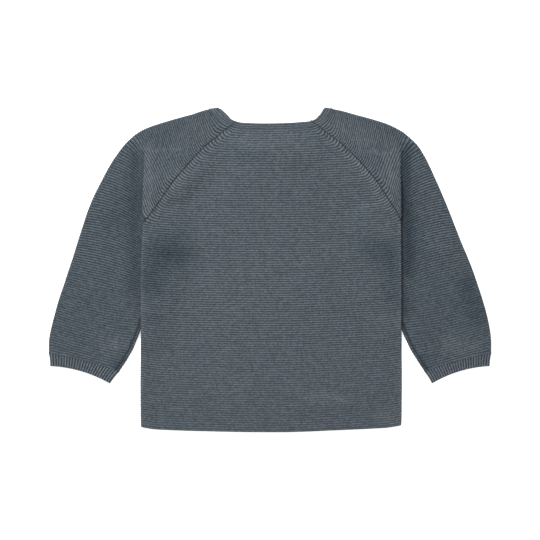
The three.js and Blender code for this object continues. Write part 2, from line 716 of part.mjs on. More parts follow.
function buildNeckband() {
  const sections = [];
  const up = v3(0, 0, 1);
  const flatPart = (curve, side, from, to, heightAt) => {
    for (let i = 0; i <= BAND_STEPS; i += 1) {
      const u = mix(from, to, i / BAND_STEPS);
      const edge = curve.getPoint(u);
      const way = bandWay(curve, u, side);
      sections.push(bandSection(edge, way, v3(0, 0, heightAt(edge.x, edge.y)), up));
    }
  };
  const turn = (curve, side, upwards) => {
    const shoulder = curve.getPoint(0);
    const way = bandWay(curve, 0, side);
    const beyond = v3(-side * way.y, side * way.x, 0);
    if (beyond.y < 0) beyond.negate();
    const centre = shoulder.clone().addScaledVector(beyond, -FOLD_RADIUS).setZ(FOLD_RADIUS);
    for (let i = 1; i < TURN_STEPS; i += 1) {
      const angle = mix(-Math.PI / 2, Math.PI / 2, i / TURN_STEPS) * (upwards ? 1 : -1);
      const outwards = beyond.clone().multiplyScalar(Math.cos(angle)).addScaledVector(up, Math.sin(angle));
      const innerFace = centre.clone().addScaledVector(outwards, SEAM_GAP / 2);
      sections.push(bandSection(innerFace, way, v3(0, 0, 0), outwards));
    }
  };
  const TURN_SHARE = 0.02;
  const leftFront = frontNeckCurve(-1);
  const rightFront = frontNeckCurve(1);
  // The underside of the band's front parts faces down, so these sections are turned over to run on into the turn.
  const overturn = (part) => {
    const start = sections.length;
    part();
    for (let i = start; i < sections.length; i += 1) {
      const s = sections[i];
      sections[i] = [s[5], s[4], s[3], s[2], s[1], s[0], s[7], s[6]];
    }
  };
  overturn(() => flatPart(leftFront, -1, 1, TURN_SHARE, outerFrontZ));
  turn(leftFront, -1, true);
  flatPart(backNeck, -1, TURN_SHARE, 0.5, backZ);
  sections.pop();
  flatPart(reversedBackNeck, 1, 0.5, TURN_SHARE, backZ);
  turn(rightFront, 1, false);
  overturn(() => flatPart(rightFront, 1, TURN_SHARE, 1, innerFrontZ));
  addPiece("neckband", tubeSkin(sections, null), COLOURS.neckband);
}

// Four-hole button with a raised rim, face down on the surface.
function buildButton(name, y) {
  const profile = [
    new THREE.Vector2(0, 0.35),
    new THREE.Vector2(BUTTON_RADIUS - 1.6, 0.35),
    new THREE.Vector2(BUTTON_RADIUS - 1.1, 0),
    new THREE.Vector2(BUTTON_RADIUS - 0.5, 0),
    new THREE.Vector2(BUTTON_RADIUS, 0.6),
    new THREE.Vector2(BUTTON_RADIUS - 0.2, 1.3),
    new THREE.Vector2(BUTTON_RADIUS - 1, BUTTON_THICK),
    new THREE.Vector2(0, BUTTON_THICK),
  ];
  const disc = new THREE.LatheGeometry(profile, BUTTON_FACETS).rotateX(Math.PI / 2);
  disc.deleteAttribute("normal");
  disc.deleteAttribute("uv");
  let solid = solidFrom(disc);
  const holeRadius = 0.75;
  const holeSpread = 1.35;
  for (let i = 0; i < 4; i += 1) {
    const angle = Math.PI / 4 + (i * Math.PI) / 2;
    const hole = new THREE.CylinderGeometry(holeRadius, holeRadius, 2 * BUTTON_THICK, 8);
    hole.rotateX(Math.PI / 2);
    hole.translate(holeSpread * Math.cos(angle), holeSpread * Math.sin(angle), BUTTON_THICK / 2);
    hole.deleteAttribute("normal");
    hole.deleteAttribute("uv");
    solid = solid.subtract(solidFrom(hole));
  }
  const geometry = geometryFrom(solid).translate(BUTTON_LINE_X, y, 0);
  addPiece(name, geometry, COLOURS.button, BUTTON_ROUGHNESS);
}

buildBack();
buildFront("front_left", -1, outerFrontZ);
buildFront("front_right", 1, innerFrontZ);
buildSleeve("sleeve_left", -1);
buildSleeve("sleeve_right", 1);
buildCuff("cuff_left", -1);
buildCuff("cuff_right", 1);
buildNeckband();
for (let i = 0; i < BUTTON_COUNT; i += 1) buildButton(`button_${i + 1}`, BUTTON_TOP_Y - i * BUTTON_STEP);

export default cardigan;
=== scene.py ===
# %% [markdown]
# # A baby cardigan in garter stitch
# The cardigan lies flat on its fronts with its back up, as it is photographed from straight above. It is knitted
# in fine cotton garter stitch: every ridge is one pair of knitted rows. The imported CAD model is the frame, and each
# knitted part gets a shell that lies on its solid, with the ridges as real relief.

import bmesh
import bpy
import numpy as np
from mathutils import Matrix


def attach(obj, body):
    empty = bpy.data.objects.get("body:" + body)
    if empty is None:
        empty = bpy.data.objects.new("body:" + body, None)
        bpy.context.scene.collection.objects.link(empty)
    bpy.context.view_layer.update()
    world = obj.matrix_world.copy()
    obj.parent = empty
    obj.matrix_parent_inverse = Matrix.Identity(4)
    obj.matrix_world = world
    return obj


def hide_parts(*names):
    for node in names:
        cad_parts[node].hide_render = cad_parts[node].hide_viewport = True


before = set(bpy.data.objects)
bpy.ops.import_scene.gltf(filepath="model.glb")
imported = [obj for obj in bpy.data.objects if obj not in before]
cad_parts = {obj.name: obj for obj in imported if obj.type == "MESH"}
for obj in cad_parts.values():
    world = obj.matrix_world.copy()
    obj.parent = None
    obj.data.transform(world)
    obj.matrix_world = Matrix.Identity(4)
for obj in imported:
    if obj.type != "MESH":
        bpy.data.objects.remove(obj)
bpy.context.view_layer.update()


def new_object(name, data):
    """Adds an object to the scene."""
    made = bpy.data.objects.new(name, data)
    bpy.context.scene.collection.objects.link(made)
    return made


# %% [markdown]
# ## Where the camera stands
# The photograph is taken from straight above with a long lens, so the sides of the cloth don't show. The lens is
# chosen first, and the height then follows from the width that the picture takes in.

# %% Camera
PICTURE_WIDTH = 0.4995
CLOTH_MIDDLE = 0.004
camera_data = bpy.data.cameras.new("camera_above")
camera_data.lens, camera_data.sensor_width = 200, 36
camera = new_object("camera_above", camera_data)
camera_height = PICTURE_WIDTH * camera_data.lens / camera_data.sensor_width
camera.location = (0, 0, camera_height + CLOTH_MIDDLE)
bpy.context.scene.camera = camera
bpy.context.scene.view_settings.view_transform = "Standard"
print("camera height in m:", round(camera_height, 3))

# %% [markdown]
# ## Sizes and tables
# Named sizes and tables as in the CAD source, in millimetres; some edges are fitted to the photograph once more,
# by a millimetre or two, since the ridges show them best. A table gives the mean of both sides as a
# distance from the centre line, and a lean, by which both sides are shifted to the right at that place.

# %% Sizes in millimetres
MM = 0.001
WALL, SEAM_GAP = 1.5, 0.3
TWO_PLY = 2 * WALL + SEAM_GAP
LIFT = TWO_PLY + SEAM_GAP
FOLD_RADIUS = TWO_PLY / 2
LAP_HALF, LAP_GAP = 12.5, 0.5
BUTTON_RADIUS, BUTTON_THICK = 5.75, 1.8
BAND_LIFT = BUTTON_THICK + SEAM_GAP
NECKBAND_WIDTH = 5.5
FRONT_NECK_Y = 110
TUCK_START, TUCK_FULL, TUCK_LEAVE, TUCK_GONE = 113, 70, -54, -80
TUCK_FADE, TUCK_MARGIN, TUCK_SLACK, TUCK_SINK = 28, 3.5, 0.5, 0.8

# (y, across, lean)
SIDE = np.array([
    (-146.7, 120.3, 0.8), (-143, 120.5, 0.9), (-120, 120.9, 1), (-60, 120.6, 1.1), (0, 120.6, 1.1), (44, 119.4, 1.9),
])
RAGLAN = np.array([
    (44, 119.4, 1.9), (49, 116.1, 3.4), (57.4, 110.8, 4.2), (65.2, 105.4, 4.5), (73.5, 99.8, 4.6),
    (85.1, 91.7, 4.8), (93.6, 84.2, 4.9), (103, 76, 4.7), (112.4, 67.2, 4.3), (122.1, 55.3, 4.3), (138, 34.5, 3.6),
])
TUCK_FOLD = np.array([(42, 120.4, 1.2), (75, 119.6, 2), (116, 118.2, 2.5)])
# (x, y)
HEM = np.array([
    (-119.5, -145.4), (-112, -146.9), (-92, -148.3), (-60, -149.2), (-20, -149.9), (20, -149.9), (55, -148.6),
    (92, -147), (110, -145.9), (121.1, -143.9),
])
BACK_NECK = np.array([
    (-47.4, 150.9), (-43.2, 146.6), (-37.7, 141), (-30, 137.3), (-14, 136), (0, 135.9), (14, 136.2), (30, 137.2),
    (38.4, 138.3), (43.6, 141), (47.4, 145.9), (50.4, 150.9),
])
# Share of the way from the shoulder to the centre front, and of the drop to the front neck
FRONT_NECK = np.array([
    (0, 0), (0.076, 0.098), (0.168, 0.233), (0.25, 0.4), (0.365, 0.65), (0.56, 0.875), (0.79, 0.98), (1, 1),
])
# How much of the way across is left out where a front's neck edge hangs slack
FRONT_NECK_SLACK = {-1: 0, 1: np.array([0, 0.05, 0.06, 0.03, 0, 0, 0, 0])}
# Sleeve rows: inner x, y and lean, middle x and y, outer x, y and lean. The first eight start on the raglan seam.
SLEEVE = np.array([
    (0, 134.1, 0, 48.9, 139.7, 56.2, 149.5, 1.2), (0, 122.1, 0, 60.2, 134.7, 64.1, 147.8, 2.1),
    (0, 112.4, 0, 72, 128.3, 75.7, 144.3, 3), (0, 103, 0, 81.7, 122.2, 86.2, 141.5, 3),
    (0, 93.6, 0, 91.4, 116, 97.3, 138.3, 2.9), (0, 84.4, 0, 99.9, 110, 106.9, 135.2, 2.4),
    (0, 71.8, 0, 108.2, 108, 116.9, 131, 1.2), (0, 61.4, 0, 114.4, 101.7, 126, 125.3, 0.7),
    (101.5, 57, 2, 118.6, 100, 135.3, 116.6, 0.7), (99, 50, 1, 118.6, 90.6, 142.6, 106.4, 0.2),
    (98.2, 43.5, 0, 118.6, 78.6, 148.5, 96.2, -0.5), (98, 36, 0, 118.6, 64.8, 154.9, 83.3, -1),
    (98, 28, 0, 118.6, 51, 161.5, 69.4, -1.5), (98.6, 19.2, 0, 118.6, 37, 167.6, 54.6, -1.5),
    (100, 9.8, 0, 118.6, 23.2, 172.8, 40.2, -1.1), (101.9, 0, 0, 118.6, 9.3, 177.8, 26.2, -0.6),
    (104.6, -10.6, 0, 118.6, -4.6, 182.8, 12.5, 0.2), (108.2, -21.7, 0, 124, -17.4, 188, -1.9, 0.6),
    (112.9, -33.3, 0.4, 138, -29.6, 192.6, -15.7, 0.7), (116.6, -45.3, 1, 144, -42.6, 197, -29.1, 0.6),
    (122.2, -60.1, 1.2, 150, -56.6, 200.8, -43, 0.6), (128.3, -74, 1.5, 154, -69.2, 203.6, -55.5, 0.3),
    (134.5, -84.2, 1.8, 159, -78.4, 205, -65.7, 0), (141.3, -94.4, 1.7, 168, -85.4, 205, -77.2, 0),
])
SEAM_ROWS = 8
CUFF_END = np.array((148.4, -104.2, 0.9, 176.2, -92.6, 203.6, -88, -0.1))

# The knit: one ridge is two knitted rows
BODY_RIDGE, SLEEVE_RIDGE, STITCH = 2.13, 2.25, 1.7
STEPS_PER_RIDGE = 4
print("ridges from hem to neck:", round((130.5 + 149.9) / BODY_RIDGE))

# %% Small helpers for curves and heights


def smooth(t):
    s = np.clip(t, 0, 1)
    return s * s * (3 - 2 * s)


def bell(distance, width):
    return np.exp(-((distance / width) ** 2))


def read(table, column, at):
    """A column of a table by its first column, with straight steps between the rows."""
    return np.interp(at, table[:, 0], table[:, column])


def passed_by(steps):
    """How far each point lies along a line, from the steps between the points."""
    return np.concatenate([[0], np.cumsum(steps)])


def glide(places, values, at):
    """A smooth curve through the values of a table, read at any places, and kept flat beyond its ends."""
    slopes = np.gradient(values, places, axis=0)
    i = np.clip(np.searchsorted(places, at, side="right") - 1, 0, len(places) - 2)
    span = places[i + 1] - places[i]
    t = np.clip((at - places[i]) / span, 0, 1)
    if values.ndim > 1:
        t, span = t[..., None], span[..., None]
    start, end = values[i], values[i + 1]
    rise_out, rise_in = slopes[i] * span, slopes[i + 1] * span
    return (
        start * (1 + 2 * t) * (1 - t) ** 2 + rise_out * t * (1 - t) ** 2
        + end * t * t * (3 - 2 * t) + rise_in * t * t * (t - 1)
    )


def edge_x(table, side, y):
    """The x of one side's edge or seam at a height."""
    return side * glide(table[:, 0], table[:, 1], y) + glide(table[:, 0], table[:, 2], y)


def edge_fall(distance, radius):
    """How far a face falls towards a rounded edge."""
    inside = np.clip(radius - distance, 0, radius)
    return radius - np.sqrt(radius * radius - inside * inside)


seam_y = SLEEVE[:SEAM_ROWS, 1]
hidden_rows = SLEEVE[SEAM_ROWS:SEAM_ROWS + 12]
INNER_EDGE = np.concatenate([
    np.stack([seam_y, read(RAGLAN, 1, seam_y), read(RAGLAN, 2, seam_y)], 1),
    hidden_rows[:, [1, 0, 2]],
])[::-1]


def tuck_share(y):
    down = smooth((TUCK_START - y) / (TUCK_START - TUCK_FULL))
    return down * smooth((y - TUCK_GONE) / (TUCK_LEAVE - TUCK_GONE))


def tuck_cover(x, y):
    """Where the body lies over the tucked sleeve: 0 beside it, 1 on it."""
    across = np.abs(x - read(INNER_EDGE, 2, y))
    inside = read(INNER_EDGE, 1, y) - TUCK_MARGIN - across
    return tuck_share(y) * (1 - smooth(inside / TUCK_FADE))


def fall_share(x, start, end):
    return 1 - smooth((np.abs(x) - start) / (end - start))


def outer_front_z(x, y):
    return LIFT * tuck_cover(x, y) + BAND_LIFT * fall_share(x, 7, 22)


def inner_front_z(x, y):
    return outer_front_z(x, y) + (WALL + LAP_GAP) * fall_share(x, LAP_HALF + 1, 28)


def back_z(x, y):
    reach = 105 - 55 * smooth((y - 30) / 70)
    swell = (BAND_LIFT + WALL + LAP_GAP) * fall_share(x, LAP_HALF, reach) * (1 - smooth((y - 114) / 20))
    cover = tuck_cover(x, y)
    return LIFT * cover + TUCK_SLACK * 4 * cover * (1 - cover) + WALL + SEAM_GAP + swell


# %% [markdown]
# ## Soft creases
# Pressed knitwear still has a few soft troughs and ridges: pulls that run in from the underarms, the swell of the
# lapped fronts below, and slack beside the tucks. They are given one line each, and only ever lift the cloth, so that
# no ply sinks into the one below it.

# %% Creases and painted shade, listed one by one
# (x and y of both ends, half width, height) in millimetres
BACK_CREASES = [
    (-116, 27, -64, 24, 8, 1.1), (116, 30, 70, 8, 9, 0.8), (-104, -40, -52, -66, 12, 0.35),
    (100, -52, 58, -84, 11, 0.35), (-30, 96, -14, 20, 10, 0.25), (36, 84, 22, 0, 12, 0.25),
    (-70, -96, -34, -128, 12, 0.35), (14, -108, 78, -124, 7, 0.5), (-8, -30, 6, -110, 13, 0.25),
    (-96, 66, -70, 92, 8, 0.3), (92, 70, 70, 94, 8, 0.3), (-36, 116, 52, 106, 6, 0.5),
    (-118, -26, -92, -40, 7, 0.5), (96, -128, 121, -134, 7, 0.4),
]
FRONT_CREASES = [
    (-104, 30, -52, -4, 10, 0.3), (106, 26, 60, -14, 10, 0.3), (-84, -60, -40, -98, 11, 0.3),
    (82, -66, 40, -110, 11, 0.28), (-70, 88, -44, 40, 9, 0.3), (72, 86, 48, 36, 9, 0.3),
]
SLEEVE_CREASES = [
    (132, 96, 150, 40, 7, 0.4), (132, 60, 158, 10, 8, 0.5), (150, 12, 176, -30, 8, 0.45),
    (134, -2, 160, -46, 7, 0.25), (164, -20, 188, -62, 7, 0.3), (146, -56, 168, -80, 6, 0.25),
    (88, 120, 112, 112, 6, 0.25), (104, 128, 124, 108, 6, 0.2),
]
# Painted shade and painted highlights over the cloth: each line darkens the yarn's colour, and lightens it where its
# amount is below zero.
# (x and y of both ends, half width, how much painted shade; below zero a painted highlight)
BACK_PAINTED_SHADES = [
    (-114, 13, -77, 21, 18, 0.37), (-114, 2, -106, -26, 14, 0.27), (78, 30, 116, 8, 11, 0.16),
    (112, 24, 114, -34, 10, 0.16), (-28, 117, 44, 113, 5, -0.1), (-34, 106, 4, 103, 5, 0.08),
    (-114, -42, -102, -48, 7, 0.2), (98, -136, 118, -140, 6, -0.16), (30, -116, 72, -121, 4, -0.12),
    (80, 104, 104, 62, 6, -0.1), (-70, 96, -92, 74, 6, -0.08), (-60, -20, 60, 10, 40, -0.04),
    (-90, -100, 90, -100, 50, -0.05),
]
TUCK_PAINTED_SHADES = [
    (-113, 118, -112, 34, 6, -0.2), (112, 120, 112, 46, 7, -0.17), (-104, 121, -80, 131, 7, 0.09),
    (-96, 116, -56, 140, 14, -0.1), (66, 139, 92, 127, 6, 0.08), (96, 116, 58, 140, 14, -0.22),
    (-86, 96, -100, 74, 6, -0.06), (-56, 128, -78, 112, 5, -0.05),
]
# On the sleeves: a painted shadow beside each fold, and painted shade and highlights over the tube
SLEEVE_PAINTED_SHADES = [
    *TUCK_PAINTED_SHADES,
    (-125, 112, -126, -22, 7, 0.23), (126, 116, 126, 52, 5.5, 0.36), (127, 52, 128, -8, 6.5, 0.34),
    (125, -12, 125, -44, 5, 0.18), (132, 70, 134, 0, 15, 0.07), (180, -6, 194, -50, 9, 0.2),
    (-132, 76, -152, 24, 14, 0.1), (-152, -76, -138, -62, 10, -0.2), (160, -68, 192, -72, 10, -0.2),
    (136, -82, 146, -94, 5, 0.16), (-136, -82, -146, -94, 5, 0.16),
    (140, 60, 160, 20, 9, -0.06), (121.8, 111, 122.6, 46, 1.5, 0.3), (-117.6, 111, -119.4, 52, 1.2, 0.18),
]


def drape(creases, x, y, side=1, bow=0.12):
    """Sum of soft lines over the cloth: each is a bell across its line that fades in and out along it."""
    height = np.zeros(np.broadcast(x, y).shape)
    for x0, y0, x1, y1, half, lift in creases:
        x0, x1 = side * x0, side * x1
        along_x, along_y = x1 - x0, y1 - y0
        length = np.hypot(along_x, along_y)
        along = ((x - x0) * along_x + (y - y0) * along_y) / length
        across = ((x - x0) * along_y - (y - y0) * along_x) / length
        bend = bow * length * np.sin(np.pi * np.clip(along / length, 0, 1))
        fade = smooth((along + half) / (2 * half)) * smooth((length + half - along) / (2 * half))
        height += lift * fade * bell(across - bend, half)
    return height


# %% [markdown]
# ## From rows of points to a mesh
# A knitted part is a closed shell. Its faces are grids whose lines follow the ridges, four lines to each ridge, so
# the relief stays crisp. Each point carries how many ridges and stitches it lies from a corner, as a UV map and an
# attribute, because a knitted pattern follows the cloth and not space. A point that two grids share is merged.

# %% Grids and closed shells
SLIT_COLUMNS, SLIT_ROWS = 9, 41


def slit_places(length, inset):
    """Where the columns of a slit lie across a tube."""
    return inset + (length - 2 * inset) * np.linspace(0, 1, SLIT_COLUMNS)


def grid(rows, cols, start, flip=False):
    i = np.arange(rows * cols).reshape(rows, cols) + start
    quads = np.stack([i[:-1, :-1], i[:-1, 1:], i[1:, 1:], i[1:, :-1]], -1).reshape(-1, 4)
    return quads[:, ::-1] if flip else quads


def shares_along(points):
    steps = np.hypot(*np.diff(points[:, :2], axis=0).T)
    passed = passed_by(steps)
    return passed / passed[-1]


def zip_rows(a, b, points, flip=False):
    """Triangles between two rows of points that run side by side but hold different numbers of points."""
    share_a, share_b = shares_along(points[a]), shares_along(points[b])
    made, i, j = [], 0, 0
    while i < len(a) - 1 or j < len(b) - 1:
        if j == len(b) - 1 or (i < len(a) - 1 and share_a[i + 1] <= share_b[j + 1]):
            made.append((a[i], a[i + 1], b[j]))
            i += 1
        else:
            made.append((a[i], b[j + 1], b[j]))
            j += 1
    return [face[::-1] for face in made] if flip else made


class Cloth:
    """Collects grids of points in millimetres and closes them into one mesh."""

    def __init__(self):
        self.points, self.knit, self.faces, self.count = [], [], [], 0

    def add_grid(self, x, y, z, stitch, course, relief, flip=False, painted_shade=0, ridge_shade_and_bump=0):
        rows, cols = x.shape
        start = self.count
        self.points.append(np.stack([x, y, z], -1).reshape(-1, 3))
        values = np.broadcast_arrays(x, stitch, course, relief, painted_shade, ridge_shade_and_bump)[1:]
        self.knit.append(np.stack(values, -1).reshape(-1, 5))
        self.faces.extend(map(tuple, grid(rows, cols, start, flip).tolist()))
        self.count += rows * cols
        return np.arange(rows * cols).reshape(rows, cols) + start

    def zip_edges(self, a, b, flip=False):
        self.faces.extend(zip_rows(a, b, np.concatenate(self.points), flip))

    def add_slit(self, p, stitch, course):
        """Both faces of the slit between two plies, which meet along its sides."""
        open_half = SEAM_GAP / 2 * np.sin(np.pi * np.linspace(0, 1, SLIT_COLUMNS)) ** 0.3
        open_half[[0, -1]] = 0
        heights = [TWO_PLY / 2 + sign * open_half + 0 * p[..., 0] for sign in (1, -1)]
        return [self.add_grid(p[..., 0], p[..., 1], z, stitch, course, 0, flip=k == 0) for k, z in enumerate(heights)]

    def wall(self, a, b, flip=False):
        for i in range(len(a) - 1):
            face = (int(a[i]), int(a[i + 1]), int(b[i + 1]), int(b[i]))
            self.faces.append(face[::-1] if flip else face)

    def mesh(self, name):
        points, knit = np.concatenate(self.points), np.concatenate(self.knit)
        _, first, merged = np.unique(np.round(points, 3), axis=0, return_index=True, return_inverse=True)
        merged = merged.reshape(-1).tolist()
        faces, corners = [], []
        for face in self.faces:
            ids = [merged[k] for k in face]
            kept = [n for n in range(len(ids)) if ids[n] != ids[n - 1]]
            if len(kept) > 2 and len({ids[n] for n in kept}) == len(kept):
                faces.append([int(ids[n]) for n in kept])
                corners.extend(face[n] for n in kept)
        data = bpy.data.meshes.new(name)
        places = points[first]
        data.from_pydata((places * MM).tolist(), [], faces)
        layer = data.uv_layers.new(name="knit")
        layer.data.foreach_set("uv", knit[corners, :2].astype(np.float32).ravel())
        for column, label in enumerate(("course", "relief", "painted_shade", "ridge_shade_and_bump"), 1):
            values = knit[first, column].astype(np.float32)
            data.attributes.new(label, "FLOAT", "POINT").data.foreach_set("value", values)
        shell = bmesh.new()
        shell.from_mesh(data)
        bmesh.ops.recalc_face_normals(shell, faces=shell.faces)
        shell.to_mesh(data)
        shell.free()
        return data


# %% [markdown]
# ## The relief of garter stitch
# Each ridge stands about 0.4 mm above the groove beside it. It could be a bump in the material alone,
# but then the folds would have a smooth outline. Geometry Nodes cut the grooves into every knitted shell instead,
# by one rule: the deeper, the nearer a point lies to a whole number of ridges. A noise makes the tension uneven.

# %% One function for nodes, one for running a tree


def add(tree, kind, wires=None, **settings):
    """Adds a node: its settings, then for each input a socket to link or a value."""
    made = tree.nodes.new(kind)
    for key, value in settings.items():
        setattr(made, key, value)
    for key, value in (wires or {}).items():
        if isinstance(value, bpy.types.NodeSocket):
            tree.links.new(value, made.inputs[key])
        else:
            made.inputs[key].default_value = value
    return made


def calc(tree, operation, *values):
    """A Math node over sockets or numbers."""
    return add(tree, "ShaderNodeMath", dict(enumerate(values)), operation=operation).outputs[0]


def noise_at(tree, vector, scale, detail):
    return add(tree, "ShaderNodeTexNoise", {"Vector": vector, "Scale": scale, "Detail": detail}).outputs["Fac"]


def new_tree(name, inputs):
    tree = bpy.data.node_groups.new(name, "GeometryNodeTree")
    tree.is_modifier = True
    tree.interface.new_socket("Geometry", in_out="INPUT", socket_type="NodeSocketGeometry")
    tree.interface.new_socket("Geometry", in_out="OUTPUT", socket_type="NodeSocketGeometry")
    for label, kind in inputs:
        tree.interface.new_socket(label, in_out="INPUT", socket_type=kind)
    return tree, tree.nodes.new("NodeGroupInput").outputs


def end_tree(tree, geometry, material):
    realized = add(tree, "GeometryNodeRealizeInstances", {"Geometry": geometry})
    painted = add(tree, "GeometryNodeSetMaterial", {"Geometry": realized.outputs[0], "Material": material})
    add(tree, "NodeGroupOutput", {"Geometry": painted.outputs[0]})


def run_tree(obj, tree, values):
    """Runs a tree on an object and keeps the result as its plain mesh."""
    modifier = obj.modifiers.new(tree.name, "NODES")
    modifier.node_group = tree
    sockets = {i.name: i.identifier for i in tree.interface.items_tree if i.in_out == "INPUT"}
    for label, value in values.items():
        modifier[sockets[label]] = value
    graph = bpy.context.evaluated_depsgraph_get()
    graph.update()
    made = bpy.data.meshes.new_from_object(obj.evaluated_get(graph), depsgraph=graph)
    obj.modifiers.clear()
    obj.data = made
    made.name = obj.name
    made.polygons.foreach_set("use_smooth", [True] * len(made.polygons))
    return obj


# %% The tree that cuts the grooves
relief_tree, given = new_tree("knit_relief", [
    ("Groove Depth", "NodeSocketFloat"), ("Groove Sharpness", "NodeSocketFloat"), ("Unevenness", "NodeSocketFloat"),
    ("Tension Scale", "NodeSocketFloat"), ("Seed", "NodeSocketFloat"), ("Material", "NodeSocketMaterial"),
])
course = add(relief_tree, "GeometryNodeInputNamedAttribute", {"Name": "course"}, data_type="FLOAT").outputs[0]
weight = add(relief_tree, "GeometryNodeInputNamedAttribute", {"Name": "relief"}, data_type="FLOAT").outputs[0]
turn = calc(relief_tree, "MULTIPLY", course, 2 * np.pi)
wave = calc(relief_tree, "COSINE", turn)
share = calc(relief_tree, "MULTIPLY_ADD", wave, 0.5, 0.5)
groove = calc(relief_tree, "POWER", share, given["Groove Sharpness"])
cut = calc(relief_tree, "MULTIPLY", groove, given["Groove Depth"])
noise = add(
    relief_tree, "ShaderNodeTexNoise", {"W": given["Seed"], "Scale": given["Tension Scale"], "Detail": 2.0},
    noise_dimensions="4D",
).outputs[0]
uneven = calc(relief_tree, "MULTIPLY_ADD", noise, given["Unevenness"], cut)
depth = calc(relief_tree, "MULTIPLY", uneven, weight)
inward = calc(relief_tree, "MULTIPLY", depth, -1.0)
normal = add(relief_tree, "GeometryNodeInputNormal").outputs[0]
offset = add(relief_tree, "ShaderNodeVectorMath", {0: normal, "Scale": inward}, operation="SCALE").outputs[0]
moved = add(relief_tree, "GeometryNodeSetPosition", {"Geometry": given["Geometry"], "Offset": offset}).outputs[0]
end_tree(relief_tree, moved, given["Material"])
print("relief tree:", len(relief_tree.nodes), "nodes")

# %% [markdown]
# ## Materials
# Everything knitted is combed cotton yarn, dyed slate blue-grey, with a matte surface. The grooves between ridges are
# painted darker as painted shade, each stitch's bump is painted lighter as a painted highlight, and the dye takes a
# little unevenly along the yarn. A point attribute adds painted shade and painted highlights in patches, beside the
# folds and along seams. The pattern is counted in stitches and ridges on the knit map, so that it keeps its real size
# of 1.7 by 2.1 mm.

# %% Colours and the knit material


def linear(code):
    """An sRGB hex colour as linear RGBA."""
    parts = np.array([int(code[k:k + 2], 16) for k in (1, 3, 5)]) / 255
    low, high = parts / 12.92, ((parts + 0.055) / 1.055) ** 2.4
    return (*np.where(parts <= 0.04045, low, high).tolist(), 1.0)


def new_material(name, roughness, sheen=0.0):
    """A material with its shader; numbers that hold all over are set on the shader itself."""
    material = bpy.data.materials.new(name)
    material.use_nodes = True
    shader = material.node_tree.nodes["Principled BSDF"]
    shader.inputs["Roughness"].default_value = roughness
    shader.inputs["Specular IOR Level"].default_value = 0.15
    shader.inputs["Sheen Weight"].default_value = sheen
    shader.inputs["Sheen Roughness"].default_value = 0.6
    return material, material.node_tree, shader


def two_tone(tree, fac, places, codes):
    """A ramp from a dark colour to a light one."""
    ramp = add(tree, "ShaderNodeValToRGB", {"Fac": fac})
    for element, place, code in zip(ramp.color_ramp.elements, places, codes):
        element.position, element.color = place, linear(code)
    return ramp.outputs["Color"]


